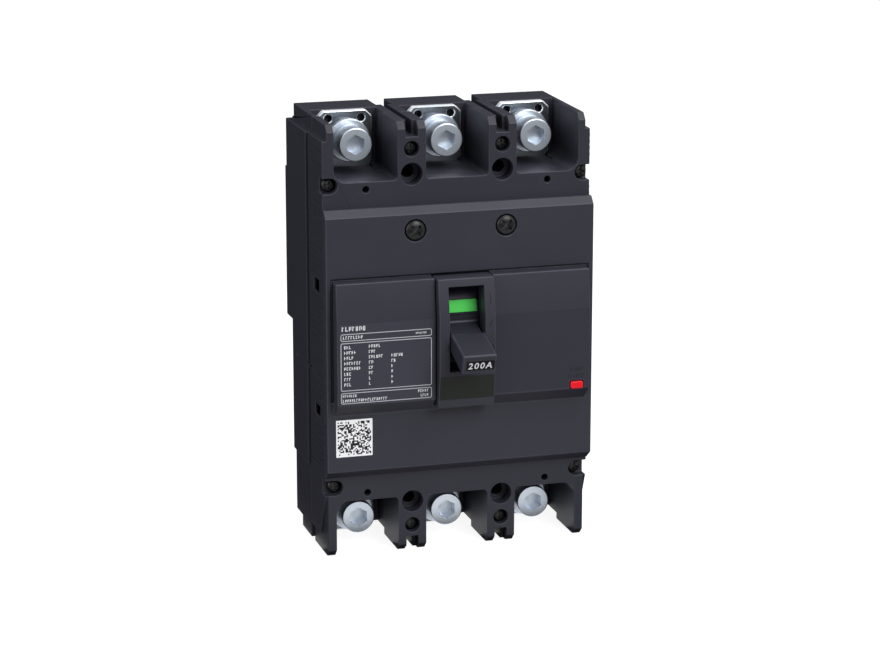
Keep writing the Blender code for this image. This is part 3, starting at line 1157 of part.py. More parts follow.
def make_trip_unit():
    """Trip bar with its tabs, and the bimetal and armature of each pole."""
    reach = TRIP_BAR_HALF_LENGTH
    bar = rod("x", (TRIP_BAR_DEPTH, TRIP_BAR_Z), TRIP_BAR_RADIUS, -reach, reach, 14)
    tabs = []
    for pole in POLES.values():
        x = pole * POLE_PITCH
        span = (x - TRIP_TAB_LEFT, x + TRIP_TAB_RIGHT)
        tabs.append(block(span, (TRIP_BAR_DEPTH, TRIP_TAB_REACH), (TRIP_TAB_BOTTOM, TRIP_BAR_Z)))
    button_span = (BUTTON_X - BUTTON_TAB_HALF_WIDTH, BUTTON_X + BUTTON_TAB_HALF_WIDTH)
    tabs.append(block(button_span, (TRIP_BAR_DEPTH, BUTTON_TAB_DEPTH), (TRIP_BAR_Z, BUTTON_TAB_TOP)))
    latch_top = CRADLE_NOSE_Z - LINK_PIN_RADIUS - CLEAR
    latch = block(
        (-LATCH_HALF_WIDTH, LATCH_HALF_WIDTH),
        (TRIP_BAR_DEPTH - TRIP_BAR_RADIUS / 2, TRIP_BAR_DEPTH + TRIP_BAR_RADIUS / 2),
        (TRIP_BAR_Z, latch_top),
    )
    body = union(bar, latch, *tabs)
    piece("trip_bar", "insulator", body, pivot=(0, -TRIP_BAR_DEPTH, TRIP_BAR_Z))
    foot_rear = STRAP_FRONT + CLEAR
    foot_front = foot_rear + BIMETAL_THICKNESS
    leg_top = BIMETAL_Z + BIMETAL_THICKNESS / 2
    leg_bottom = BIMETAL_Z - BIMETAL_THICKNESS / 2
    foot = [
        (foot_rear, leg_bottom), (foot_rear, leg_top + BIMETAL_FOOT),
        (foot_front, leg_top + BIMETAL_FOOT), (foot_front, leg_top),
        (BIMETAL_TIP_DEPTH, leg_top), (BIMETAL_TIP_DEPTH, leg_bottom),
    ]
    hinge_depth = STRAP_FRONT + CLEAR + ARMATURE_KNUCKLE_RADIUS
    half = ARMATURE_THICKNESS / 2
    for pole_name, pole in POLES.items():
        x = pole * POLE_PITCH
        strip = prism(foot, "x", x - BIMETAL_HALF_WIDTH, x + BIMETAL_HALF_WIDTH)
        piece(f"bimetal_{pole_name}", "bimetal", strip)
        plate = block(
            (x - ARMATURE_HALF_WIDTH, x + ARMATURE_HALF_WIDTH), (hinge_depth, ARMATURE_REACH_DEPTH),
            (ARMATURE_Z - half, ARMATURE_Z + half),
        )
        knuckle = rod(
            "x", (hinge_depth, ARMATURE_Z), ARMATURE_KNUCKLE_RADIUS, x - ARMATURE_HALF_WIDTH + CLEAR,
            x + ARMATURE_HALF_WIDTH - CLEAR, 10,
        )
        finger_x = x + ARMATURE_HALF_WIDTH - ARMATURE_FINGER_WIDTH
        finger = block(
            (finger_x, x + ARMATURE_HALF_WIDTH - CLEAR),
            (ARMATURE_REACH_DEPTH - ARMATURE_FINGER_WIDTH, ARMATURE_REACH_DEPTH - CLEAR),
            (ARMATURE_Z, ARMATURE_FINGER_TOP),
        )
        body = union(plate, knuckle, finger)
        piece(f"armature_{pole_name}", "steel", body, pivot=(x, -hinge_depth, ARMATURE_Z))


def main():
    """Clear the scene and build every piece."""
    for old in list(bpy.data.objects):
        bpy.data.objects.remove(old, do_unlink=True)
    make_base()
    make_middle_cover()
    make_front_cover()
    make_escutcheon()
    make_handle()
    make_trip_button()
    make_screws()
    make_terminals()
    make_contacts()
    make_arc_chutes()
    make_mechanism()
    make_trip_unit()


main()
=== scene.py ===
"""Looks of the molded case breaker: finishes, fine detail, studio and camera.

Sizes are in millimetres, and a depth is the distance forward of the rear mounting face.
"""

import json
import logging
import math
import random
from collections.abc import Iterable, Sequence
from dataclasses import dataclass
from enum import Enum
from functools import cache

import bmesh
import bpy
from mathutils import Matrix, Vector

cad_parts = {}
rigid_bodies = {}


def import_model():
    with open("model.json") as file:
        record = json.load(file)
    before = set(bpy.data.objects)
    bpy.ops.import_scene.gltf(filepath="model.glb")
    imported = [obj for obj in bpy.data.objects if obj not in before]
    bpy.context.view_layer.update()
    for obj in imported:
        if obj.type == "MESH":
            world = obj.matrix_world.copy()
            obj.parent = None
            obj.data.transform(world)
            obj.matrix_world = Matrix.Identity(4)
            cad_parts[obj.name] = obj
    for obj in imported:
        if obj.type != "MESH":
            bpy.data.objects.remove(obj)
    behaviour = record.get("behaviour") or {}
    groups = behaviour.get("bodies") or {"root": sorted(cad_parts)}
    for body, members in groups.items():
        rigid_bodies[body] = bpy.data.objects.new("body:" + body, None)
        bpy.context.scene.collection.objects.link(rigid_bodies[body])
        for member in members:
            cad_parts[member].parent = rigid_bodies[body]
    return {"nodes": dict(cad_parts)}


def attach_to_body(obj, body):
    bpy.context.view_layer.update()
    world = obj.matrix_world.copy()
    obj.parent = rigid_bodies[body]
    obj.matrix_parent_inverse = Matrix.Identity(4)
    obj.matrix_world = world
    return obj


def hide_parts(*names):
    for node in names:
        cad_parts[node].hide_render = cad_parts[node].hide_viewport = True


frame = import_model()

log = logging.getLogger("breaker")

MM = 0.001
INK = 0.01  # thickness of print
FILM = 0.05  # thickness of stuck-on film
CUT_PAST = 2.0  # how far a cutter reaches past the face it cuts
FLAT_PRINT = 20.0  # largest angle shaded smooth on print, in degrees
PIECE_WEIGHT = 80  # how much more a large face turns a piece's normals than a small one
ITEM_WEIGHT = 50  # the same on an item that is repeated
Colour = tuple[float, float, float]
Outline = list[tuple[float, float]]
Span = tuple[float, float]
Point = tuple[float, float, float]
Row = tuple[float, float, float, float]


class Body(Enum):
    """CAD bodies that the pieces ride on."""

    CASE = "case"
    HANDLE = "handle"
    BUTTON = "trip_button"


class Side(Enum):
    """Left and right of the breaker, seen from the front."""

    LEFT = -1
    RIGHT = 1


class End(Enum):
    """Line end at the top and load end at the bottom."""

    TOP = 1
    BOTTOM = -1


class Axis(Enum):
    """Directions that a prism runs along."""

    DEPTH = "depth"
    ACROSS = "across"


class Join(Enum):
    """Ways to combine two bodies."""

    UNION = "UNION"
    DIFFERENCE = "DIFFERENCE"


POLES: dict[str, float] = {"left": -35.0, "centre": 0.0, "right": 35.0}


def srgb(red: int, green: int, blue: int) -> Colour:
    """Linear colour of an 8-bit screen colour.

    Args:
        red: Red, 0 to 255.
        green: Green, 0 to 255.
        blue: Blue, 0 to 255.

    Returns:
        The colour in linear light.
    """
    def linear(value: int) -> float:
        """One channel in linear light."""
        share = value / 255
        return share / 12.92 if share <= 0.04045 else ((share + 0.055) / 1.055) ** 2.4

    return linear(red), linear(green), linear(blue)


def at(x: float, depth: float, z: float) -> Vector:
    """Point in the part's frame.

    Args:
        x: Millimetres to the right.
        depth: Millimetres forward of the mounting face.
        z: Millimetres up.

    Returns:
        The point in metres.
    """
    return Vector((x * MM, -depth * MM, z * MM))


def add(
    tree: bpy.types.NodeTree, kind: str, values: dict[str | int, object] | None = None, **settings: object,
) -> bpy.types.Node:
    """New node in a tree.

    Args:
        tree: The tree that gets the node.
        kind: Blender's name of the node.
        values: Values of its inputs.
        settings: Its own settings.

    Returns:
        The node.
    """
    node = tree.nodes.new(kind)
    for label, value in settings.items():
        setattr(node, label, value)
    for label, value in (values or {}).items():
        node.inputs[label].default_value = value
    return node


def wire(
    tree: bpy.types.NodeTree, start: bpy.types.Node, out: str, end: bpy.types.Node, into: str | int,
) -> None:
    """Link an output of one node to an input of another."""
    tree.links.new(start.outputs[out], end.inputs[into])


class Effects:
    """Shader node groups that the finishes share."""

    @staticmethod
    def _group(name: str, inputs: dict[str, str], outputs: dict[str, str]) -> tuple:
        """Empty group with its sockets.

        Args:
            name: Name of the group.
            inputs: Socket names and kinds that go in.
            outputs: Socket names and kinds that come out.

        Returns:
            The tree, its input node and its output node.
        """
        tree = bpy.data.node_groups.new(name, "ShaderNodeTree")
        for label, kind in inputs.items():
            tree.interface.new_socket(label, in_out="INPUT", socket_type=f"NodeSocket{kind}")
        for label, kind in outputs.items():
            tree.interface.new_socket(label, in_out="OUTPUT", socket_type=f"NodeSocket{kind}")
        return tree, tree.nodes.new("NodeGroupInput"), tree.nodes.new("NodeGroupOutput")

    @staticmethod
    def _noise(tree: bpy.types.NodeTree, scale: bpy.types.NodeSocket, detail: float) -> bpy.types.Node:
        """Noise in object space with its scale taken from a socket."""
        place = add(tree, "ShaderNodeTexCoord")
        noise = add(tree, "ShaderNodeTexNoise", {"Detail": detail})
        wire(tree, place, "Object", noise, "Vector")
        tree.links.new(scale, noise.inputs["Scale"])
        return noise

    @classmethod
    @cache
    def grain(cls) -> bpy.types.NodeTree:
        """Fine molded grain as a normal."""
        sockets = {"Scale": "Float", "Depth": "Float"}
        tree, before, after = cls._group("Molded Grain", sockets, {"Normal": "Vector"})
        noise = cls._noise(tree, before.outputs["Scale"], 2.0)
        bump = add(tree, "ShaderNodeBump", {"Distance": 0.1 * MM})
        wire(tree, before, "Depth", bump, "Strength")
        wire(tree, noise, "Fac", bump, "Height")
        wire(tree, bump, "Normal", after, "Normal")
        return tree

    @classmethod
    @cache
    def mottle(cls) -> bpy.types.NodeTree:
        """Slow drift between two colours."""
        sockets = {"Color": "Color", "Drift Color": "Color", "Scale": "Float"}
        tree, before, after = cls._group("Colour Drift", sockets, {"Color": "Color"})
        noise = cls._noise(tree, before.outputs["Scale"], 3.0)
        spread = add(tree, "ShaderNodeMapRange", {"From Min": 0.35, "From Max": 0.65})
        mix = add(tree, "ShaderNodeMix", data_type="RGBA")
        wire(tree, noise, "Fac", spread, "Value")
        wire(tree, spread, "Result", mix, "Factor")
        wire(tree, before, "Color", mix, "A")
        wire(tree, before, "Drift Color", mix, "B")
        wire(tree, mix, "Result", after, "Color")
        return tree

    @classmethod
    @cache
    def edge(cls) -> bpy.types.NodeTree:
        """Painted highlight: paler colour on the rounded edges, broken up by noise."""
        sockets = {"Color": "Color", "Edge Color": "Color", "Scale": "Float"}
        tree, before, after = cls._group("Edge Wear", sockets, {"Color": "Color"})
        attribute = add(tree, "ShaderNodeAttribute", attribute_name="edge")
        noise = cls._noise(tree, before.outputs["Scale"], 2.0)
        spread = add(tree, "ShaderNodeMapRange", {"From Min": 0.3, "From Max": 0.6, "To Min": 0.5})
        product = add(tree, "ShaderNodeMath", operation="MULTIPLY")
        mix = add(tree, "ShaderNodeMix", data_type="RGBA")
        wire(tree, noise, "Fac", spread, "Value")
        wire(tree, spread, "Result", product, 0)
        wire(tree, attribute, "Fac", product, 1)
        wire(tree, product, "Value", mix, "Factor")
        wire(tree, before, "Color", mix, "A")
        wire(tree, before, "Edge Color", mix, "B")
        wire(tree, mix, "Result", after, "Color")
        return tree


@dataclass(frozen=True)
class Finish:
    """Surface finish of a piece.

    Attributes:
        name: Name of the material.
        colour: Main colour.
        drift: Colour that the main one slowly drifts to.
        edge: Colour painted on the rounded edges as a highlight.
        roughness: Roughness of the surface.
        metallic: 1 for bare metal.
        specular: Strength of the reflection of a non-metal.
        grain_scale: Grains per metre.
        grain_depth: Strength of the grain.
        drift_scale: Patches of drift per metre.
        edge_share: Patches of the painted edge highlight for each patch of drift.
    """

    name: str
    colour: Colour
    drift: Colour
    edge: Colour
    roughness: float
    metallic: float = 0.0
    specular: float = 0.5
    grain_scale: float = 3000.0
    grain_depth: float = 0.03
    drift_scale: float = 40.0
    edge_share: float = 10.0

    @cache
    def material(self) -> bpy.types.Material:
        """Material of this finish, made the first time it is asked for.

        Returns:
            The material.
        """
        made = bpy.data.materials.new(self.name.replace("_", " ").title())
        made.use_nodes = True
        tree = made.node_tree
        shader = tree.nodes["Principled BSDF"]
        shader.inputs["Roughness"].default_value = self.roughness
        shader.inputs["Metallic"].default_value = self.metallic
        shader.inputs["Specular IOR Level"].default_value = self.specular
        mottle = add(tree, "ShaderNodeGroup", {
            "Color": (*self.colour, 1), "Drift Color": (*self.drift, 1), "Scale": self.drift_scale,
        }, node_tree=Effects.mottle())
        # Painted highlight on the rounded edges and marked faces.
        edge = add(tree, "ShaderNodeGroup", {
            "Edge Color": (*self.edge, 1), "Scale": self.drift_scale * self.edge_share,
        }, node_tree=Effects.edge())
        grain = add(tree, "ShaderNodeGroup", {
            "Scale": self.grain_scale, "Depth": self.grain_depth,
        }, node_tree=Effects.grain())
        wire(tree, mottle, "Color", edge, "Color")
        wire(tree, edge, "Color", shader, "Base Color")
        wire(tree, grain, "Normal", shader, "Normal")
        return made


# The third colour of each finish is painted on its rounded edges and marked faces as a highlight.
CASE_PLASTIC = Finish(
    "case_plastic", srgb(41, 41, 50), srgb(43, 43, 52), srgb(52, 52, 62), roughness=0.46, specular=0.22,
)
COVER_PLASTIC = Finish(
    "cover_plastic", srgb(45, 45, 54), srgb(47, 47, 56), srgb(58, 58, 68), roughness=0.46, specular=0.22,
)
HANDLE_PLASTIC = Finish(
    "handle_plastic", srgb(36, 36, 45), srgb(38, 38, 47), srgb(56, 56, 68), roughness=0.45, specular=0.22,
)
STICKER = Finish(
    "sticker_film", srgb(51, 51, 61), srgb(53, 53, 63), srgb(58, 58, 68), roughness=0.55, specular=0.22,
)
NAME_PLATE = Finish(
    "dark_plate", srgb(20, 23, 20), srgb(23, 26, 23), srgb(28, 30, 28), roughness=0.5, specular=0.2,
)
WHITE_INK = Finish(
    "white_ink", srgb(222, 222, 226), srgb(214, 214, 220), srgb(222, 222, 226), roughness=0.6, specular=0.2,
    grain_depth=0.02,
)
PAPER = Finish(
    "label_paper", srgb(246, 246, 248), srgb(240, 240, 243), srgb(246, 246, 248), roughness=0.6, specular=0.2,
    grain_depth=0.02,
)
# Darker sheet that paints shade on the upright lower part of the right panel.
PANEL_SHADE = Finish(
    "panel_film", srgb(40, 40, 49), srgb(42, 42, 51), srgb(46, 46, 55), roughness=0.5, specular=0.22,
)
GREY_INK = Finish(
    "grey_ink", srgb(186, 186, 192), srgb(178, 178, 186), srgb(186, 186, 192), roughness=0.6, specular=0.2,
    grain_depth=0.02,
)
DARK_INK = Finish(
    "dark_ink", srgb(26, 26, 30), srgb(28, 28, 32), srgb(26, 26, 30), roughness=0.55, specular=0.2,
    grain_depth=0.02,
)
BLACK_LABEL = Finish(
    "black_label", srgb(6, 6, 8), srgb(9, 9, 10), srgb(10, 10, 12), roughness=0.5, specular=0.1,
    grain_depth=0.02,
)
GREEN_PLASTIC = Finish(
    "green_plastic", srgb(88, 212, 95), srgb(92, 216, 99), srgb(98, 222, 106), roughness=0.65, specular=0.06,
)
RED_PLASTIC = Finish(
    "red_plastic", srgb(226, 24, 40), srgb(232, 27, 43), srgb(240, 60, 70), roughness=0.5, specular=0.12,
)
TINNED_COPPER = Finish(
    "tinned_copper", srgb(114, 120, 126), srgb(108, 114, 121), srgb(226, 232, 238), roughness=0.32,
    metallic=1.0, grain_scale=1800.0, grain_depth=0.05,
)
# Pale finish that paints a highlight on the tops, sides and chamfers of the pads; their fronts keep the
# darker tin.
PAD_RIM_HIGHLIGHT = Finish(
    "bright_tin", srgb(206, 211, 216), srgb(198, 204, 210), srgb(220, 225, 230), roughness=0.5, specular=0.3,
    grain_scale=1800.0,
)
BOLT_STEEL = Finish(
    "bolt_steel", srgb(200, 208, 217), srgb(192, 200, 211), srgb(230, 236, 243), roughness=0.34, metallic=1.0,
    grain_scale=2500.0, grain_depth=0.06,
)
# Its pale edge colour is painted in the cross recess of the screws as a highlight.
BLACK_STEEL = Finish(
    "black_steel", srgb(10, 10, 11), srgb(12, 12, 13), srgb(66, 66, 69), roughness=0.36, specular=0.3,
    grain_scale=2500.0, grain_depth=0.02,
)


class Shape:
    """Meshes under construction, in metres."""

    @staticmethod
    def prism(outline: Outline, axis: Axis, low: float, high: float) -> bmesh.types.BMesh:
        """Closed prism.

        Args:
            outline: Points as (x, z) for a prism along the depth, or (depth, z) for one across.
            axis: Direction that the prism runs along.
            low: Start along the axis.
            high: End along the axis.

        Returns:
            The prism.
        """
        mesh = bmesh.new()
        rings = []
        for level in (low, high):
            ring = []
            for first, second in outline:
                place = at(first, level, second) if axis is Axis.DEPTH else at(level, first, second)
                ring.append(mesh.verts.new(place))
            rings.append(ring)
        mesh.faces.new(rings[0])
        mesh.faces.new(rings[1])
        for index in range(len(outline)):
            after = (index + 1) % len(outline)
            mesh.faces.new((rings[0][index], rings[0][after], rings[1][after], rings[1][index]))
        bmesh.ops.recalc_face_normals(mesh, faces=mesh.faces)
        return mesh

    @classmethod
    def block(cls, x: Span, depth: Span, z: Span) -> bmesh.types.BMesh:
        """Box between two limits on each axis."""
        outline = [(x[0], z[0]), (x[1], z[0]), (x[1], z[1]), (x[0], z[1])]
        return cls.prism(outline, Axis.DEPTH, depth[0], depth[1])

    @staticmethod
    def arc(centre: tuple[float, float], radius: float, start: float, end: float, steps: int) -> Outline:
        """Points on an arc, with angles in degrees."""
        points = []
        for step in range(steps + 1):
            angle = math.radians(start + (end - start) * step / steps)
            points.append((centre[0] + radius * math.cos(angle), centre[1] + radius * math.sin(angle)))
        return points

    @classmethod
    def rounded_box(cls, low: tuple[float, float], high: tuple[float, float], radius: float) -> Outline:
        """Outline of a rectangle with round corners."""
        left, right = low[0] + radius, high[0] - radius
        foot, top = low[1] + radius, high[1] - radius
        points: Outline = []
        for quarter, centre in enumerate(((right, foot), (right, top), (left, top), (left, foot))):
            start = 90 * (quarter - 1)
            points += cls.arc(centre, radius, start, start + 90, 4)
        return points

    @staticmethod
    def lathe(profile: Sequence[tuple[float, float]], steps: int) -> bmesh.types.BMesh:
        """Closed body turned about the depth axis.

        Args:
            profile: Points as (radius, depth), from one end of the axis to the other.
            steps: Steps round the axis.

        Returns:
            The turned body.
        """
        mesh = bmesh.new()
        rings: list[list[bmesh.types.BMVert]] = []
        for radius, depth in profile:
            if radius == 0:
                rings.append([mesh.verts.new(at(0, depth, 0))])
                continue
            ring = []
            for step in range(steps):
                angle = 2 * math.pi * step / steps
                ring.append(mesh.verts.new(at(radius * math.cos(angle), depth, radius * math.sin(angle))))
            rings.append(ring)
        for lower, upper in zip(rings, rings[1:]):
            for step in range(steps):
                after = (step + 1) % steps
                corners = [
                    lower[step % len(lower)], lower[after % len(lower)],
                    upper[after % len(upper)], upper[step % len(upper)],
                ]
                corners = list(dict.fromkeys(corners))
                mesh.faces.new(corners)
        bmesh.ops.recalc_face_normals(mesh, faces=mesh.faces)
        return mesh

    @staticmethod
    def join(parts: Iterable[bmesh.types.BMesh]) -> bmesh.types.BMesh:
        """All the parts in one mesh."""
        whole = bmesh.new()
        for part in parts:
            data = bpy.data.meshes.new("part")
            part.to_mesh(data)
            part.free()
            whole.from_mesh(data)
            bpy.data.meshes.remove(data)
        return whole

    @staticmethod
    def combine(body: bmesh.types.BMesh, way: Join, tools: Iterable[bmesh.types.BMesh]) -> bmesh.types.BMesh:
        """Boolean of a body with tools.

        Args:
            body: The body to change.
            way: How they are combined.
            tools: The bodies to add or cut away.

        Returns:
            The result.
        """
        scene = bpy.context.scene.collection
        group = bpy.data.collections.new("tools")
        scene.children.link(group)

        def temporary(mesh: bmesh.types.BMesh, where: bpy.types.Collection) -> bpy.types.Object:
            """Object that lasts until the bodies are combined."""
            data = bpy.data.meshes.new("tool")
            mesh.to_mesh(data)
            mesh.free()
            made = bpy.data.objects.new("tool", data)
            where.objects.link(made)
            return made

        target = temporary(body, scene)
        for tool in tools:
            temporary(tool, group)
        modifier = target.modifiers.new("combine", "BOOLEAN")
        modifier.operation = way.value
        modifier.operand_type = "COLLECTION"
        modifier.collection = group
        modifier.solver = "EXACT"
        result = bmesh.new()
        result.from_mesh(target.evaluated_get(bpy.context.evaluated_depsgraph_get()).data)
        for used in list(group.objects) + [target]:
            bpy.data.objects.remove(used, do_unlink=True)
        bpy.data.collections.remove(group)
        bmesh.ops.remove_doubles(result, verts=result.verts, dist=2e-6)
        return result

    @staticmethod
    def node(name: str) -> bmesh.types.BMesh:
        """Copy of a CAD node's mesh with its flat faces whole again."""
        mesh = bmesh.new()
        mesh.from_mesh(frame["nodes"][name].data)
        bmesh.ops.remove_doubles(mesh, verts=mesh.verts, dist=5e-6)
        Shape.merge_flats(mesh)
        return mesh

    @staticmethod
    def merge_flats(mesh: bmesh.types.BMesh) -> None:
        """Dissolve the edges inside flat faces."""
        bmesh.ops.dissolve_limit(mesh, angle_limit=math.radians(0.5), verts=mesh.verts, edges=mesh.edges)
        bmesh.ops.recalc_face_normals(mesh, faces=mesh.faces)

    @staticmethod
    def round_edges(
        mesh: bmesh.types.BMesh, width: float, segments: int = 2, least: float = 32.0,
        room: tuple[Span, Span, Span] | None = None,
    ) -> None:
        """Round every sharp edge, and mark the new faces with the edge attribute, which paints a highlight on
        them.

        Args:
            mesh: The mesh to change.
            width: Width of the rounding in millimetres.
            segments: Steps in the rounding.
            least: Least angle of an edge to be rounded, in degrees.
            room: Spans in x, depth and z of a room whose edges stay sharp, in millimetres.
        """
        layer = mesh.faces.layers.float.get("edge") or mesh.faces.layers.float.new("edge")
        sharp = []
        for edge in mesh.edges:
            middle = (edge.verts[0].co + edge.verts[1].co) / 2 / MM
            place = (middle.x, -middle.y, middle.z)
            if room and all(low < value < high for value, (low, high) in zip(place, room)):
                continue
            if len(edge.link_faces) == 2 and edge.calc_face_angle(0.0) > math.radians(least):
                sharp.append(edge)
        result = bmesh.ops.bevel(
            mesh, geom=sharp, offset=width * MM, offset_type="OFFSET", segments=segments, profile=0.5,
            affect="EDGES", clamp_overlap=False, loop_slide=True, material=-1,
        )
        # The new faces get the painted edge highlight.
        for face in result["faces"]:
            face[layer] = 1.0


def shaded(
    name: str, mesh: bmesh.types.BMesh, finish: Finish, smooth: float, weight: int,
) -> bpy.types.Object:
    """Object of a mesh in its finish, shaded smooth up to an angle.

    Args:
        name: Name of the object.
        mesh: Its mesh, which is used up.
        finish: Its finish.
        smooth: Largest angle that is shaded smooth, in degrees.
        weight: How much more a large face turns the normals than a small one.

    Returns:
        The new object.
    """
    if "edge" not in mesh.faces.layers.float:
        mesh.faces.layers.float.new("edge")
    data = bpy.data.meshes.new(name)
    mesh.to_mesh(data)
    mesh.free()
    data.shade_smooth()
    data.set_sharp_from_angle(angle=math.radians(smooth))
    data.materials.clear()
    data.materials.append(finish.material())
    made = bpy.data.objects.new(name, data)
    bpy.context.scene.collection.objects.link(made)
    weigh = made.modifiers.new("normals", "WEIGHTED_NORMAL")
    weigh.keep_sharp = True
    weigh.weight = weight
    convert(made)
    return made


def piece(
    name: str, mesh: bmesh.types.BMesh, finish: Finish, body: Body, nodes: Sequence[str] = (),
    smooth: float = 40.0,
) -> bpy.types.Object:
    """Finished piece that rides on a body.

    Args:
        name: Name of the piece.
        mesh: Its mesh, which is used up.
        finish: Its finish.
        body: The body it rides on.
        nodes: CAD nodes that it stands for.
        smooth: Largest angle that is shaded smooth, in degrees.

    Returns:
        The new object.
    """
    made = shaded(name, mesh, finish, smooth, PIECE_WEIGHT)
    attach(made, body, nodes)
    return made


def rounded_node(name: str, node: str, edge: float, finish: Finish, body: Body) -> bpy.types.Object:
    """Piece that stands for one CAD node, with its edges rounded.

    Args:
        name: Name of the piece.
        node: The CAD node.
        edge: Width of the rounding in millimetres.
        finish: Its finish.
        body: The body it rides on.

    Returns:
        The piece.
    """
    mesh = Shape.node(node)
    Shape.round_edges(mesh, edge)
    return piece(name, mesh, finish, body, [node])


def convert(made: bpy.types.Object) -> None:
    """Put the result of an object's modifiers into its mesh."""
    graph = bpy.context.evaluated_depsgraph_get()
    data = bpy.data.meshes.new_from_object(made.evaluated_get(graph))
    made.modifiers.clear()
    made.data = data
    data.name = made.name


def attach(made: bpy.types.Object, body: Body, nodes: Sequence[str]) -> None:
    """Let an object ride on a body and stand for CAD nodes."""
    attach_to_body(made, body.value)
    if nodes:
        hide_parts(*nodes)
    log.info("%s: %d faces", made.name, len(made.data.polygons))


class Repeats:
    """Geometry node trees that repeat an item."""

    @staticmethod
    def _tree(name: str, inputs: dict[str, str]) -> tuple:
        """Empty tree with its sockets, its input node and its last nodes.

        Args:
            name: Name of the tree.
            inputs: Socket names and kinds that go in, before the finish.

        Returns:
            The tree, its input node and the node that takes the instances.
        """
        tree = bpy.data.node_groups.new(name, "GeometryNodeTree")
        tree.interface.new_socket("Geometry", in_out="INPUT", socket_type="NodeSocketGeometry")
        for label, kind in inputs.items():
            tree.interface.new_socket(label, in_out="INPUT", socket_type=f"NodeSocket{kind}")
        tree.interface.new_socket("Finish", in_out="INPUT", socket_type="NodeSocketMaterial")
        tree.interface.new_socket("Geometry", in_out="OUTPUT", socket_type="NodeSocketGeometry")
        before = add(tree, "NodeGroupInput")
        after = add(tree, "NodeGroupOutput")
        realize = add(tree, "GeometryNodeRealizeInstances")
        dress = add(tree, "GeometryNodeSetMaterial")
        wire(tree, realize, "Geometry", dress, "Geometry")
        wire(tree, before, "Finish", dress, "Material")
        wire(tree, dress, "Geometry", after, "Geometry")
        return tree, before, realize

    @classmethod
    @cache
    def at_points(cls) -> bpy.types.NodeTree:
        """Tree that puts an item on every point, turned by the point's own angle."""
        tree, before, realize = cls._tree("Item At Points", {"Item": "Object"})
        item = add(tree, "GeometryNodeObjectInfo", {"As Instance": True})
        turn = add(tree, "GeometryNodeInputNamedAttribute", {"Name": "turn"}, data_type="FLOAT_VECTOR")
        spread = add(tree, "GeometryNodeInstanceOnPoints")
        wire(tree, before, "Item", item, "Object")
        wire(tree, before, "Geometry", spread, "Points")
        wire(tree, item, "Geometry", spread, "Instance")
        wire(tree, turn, "Attribute", spread, "Rotation")
        wire(tree, spread, "Instances", realize, "Geometry")
        return tree

    @classmethod
    @cache
    def blocks(cls) -> bpy.types.NodeTree:
        """Tree that fills a sheet with square cells, each of them there or not by chance."""
        sockets = {"Item": "Object", "Cells": "Int", "Width": "Float", "Share": "Float", "Seed": "Int"}
        tree, before, realize = cls._tree("Block Pattern", sockets)
        item = add(tree, "GeometryNodeObjectInfo", {"As Instance": True})
        grid = add(tree, "GeometryNodeMeshGrid")
        chance = add(tree, "FunctionNodeRandomValue", data_type="BOOLEAN")
        spread = add(tree, "GeometryNodeInstanceOnPoints")
        upright = add(tree, "GeometryNodeTransform", {"Rotation": (math.pi / 2, 0, 0)})
        wire(tree, before, "Item", item, "Object")
        for label in ("Size X", "Size Y"):
            wire(tree, before, "Width", grid, label)
        for label in ("Vertices X", "Vertices Y"):
            wire(tree, before, "Cells", grid, label)
        chance_inputs = {socket.name: socket for socket in chance.inputs if socket.enabled}
        tree.links.new(before.outputs["Share"], chance_inputs["Probability"])
        tree.links.new(before.outputs["Seed"], chance_inputs["Seed"])
        wire(tree, grid, "Mesh", upright, "Geometry")
        wire(tree, upright, "Geometry", spread, "Points")
        picked = [socket for socket in chance.outputs if socket.enabled][0]
        tree.links.new(picked, spread.inputs["Selection"])
        wire(tree, item, "Geometry", spread, "Instance")
        wire(tree, spread, "Instances", realize, "Geometry")
        return tree

    @staticmethod
    def run(name: str, tree: bpy.types.NodeTree, base: bpy.types.Mesh, values: dict) -> bpy.types.Object:
        """Object made by a tree.

        Args:
            name: Name of the object.
            tree: The tree to run.
            base: Mesh that goes in.
            values: Value of every named input.

        Returns:
            The object, with the tree's result as its own mesh.
        """
        made = bpy.data.objects.new(name, base)
        bpy.context.scene.collection.objects.link(made)
        modifier = made.modifiers.new("repeat", "NODES")
        identifiers = {
            item.name: item.identifier for item in tree.interface.items_tree if item.in_out == "INPUT"
        }
        modifier.node_group = tree
        for label, value in values.items():
            modifier[identifiers[label]] = value
        convert(made)
        return made

    @classmethod
    def spread(
        cls, name: str, item: bmesh.types.BMesh, places: Sequence[tuple[Vector, float]], finish: Finish,
        body: Body, nodes: Sequence[str] = (), smooth: float = 40.0,
    ) -> bpy.types.Object:
        """One piece with an item at every place.

        Args:
            name: Name of the piece.
            item: Mesh of the item, about the depth axis.
            places: Place of every item, and its turn about the depth axis in degrees.
            finish: Finish of the items.
            body: Body that the piece rides on.
            nodes: CAD nodes that it stands for.
            smooth: Largest angle that is shaded smooth, in degrees.

        Returns:
            The piece.
        """
        source = cls.source(item, finish, smooth)
        base = bpy.data.meshes.new(name)
        base.from_pydata([place for place, _ in places], [], [])
        turn = base.attributes.new("turn", "FLOAT_VECTOR", "POINT")
        for index, (_, angle) in enumerate(places):
            turn.data[index].vector = (0, math.radians(angle), 0)
        made = cls.run(name, cls.at_points(), base, {"Item": source, "Finish": finish.material()})
        bpy.data.objects.remove(source, do_unlink=True)
        attach(made, body, nodes)
        return made

    @staticmethod
    def source(item: bmesh.types.BMesh, finish: Finish, smooth: float) -> bpy.types.Object:
        """Object that holds the item to repeat."""
        return shaded("item", item, finish, smooth, ITEM_WEIGHT)


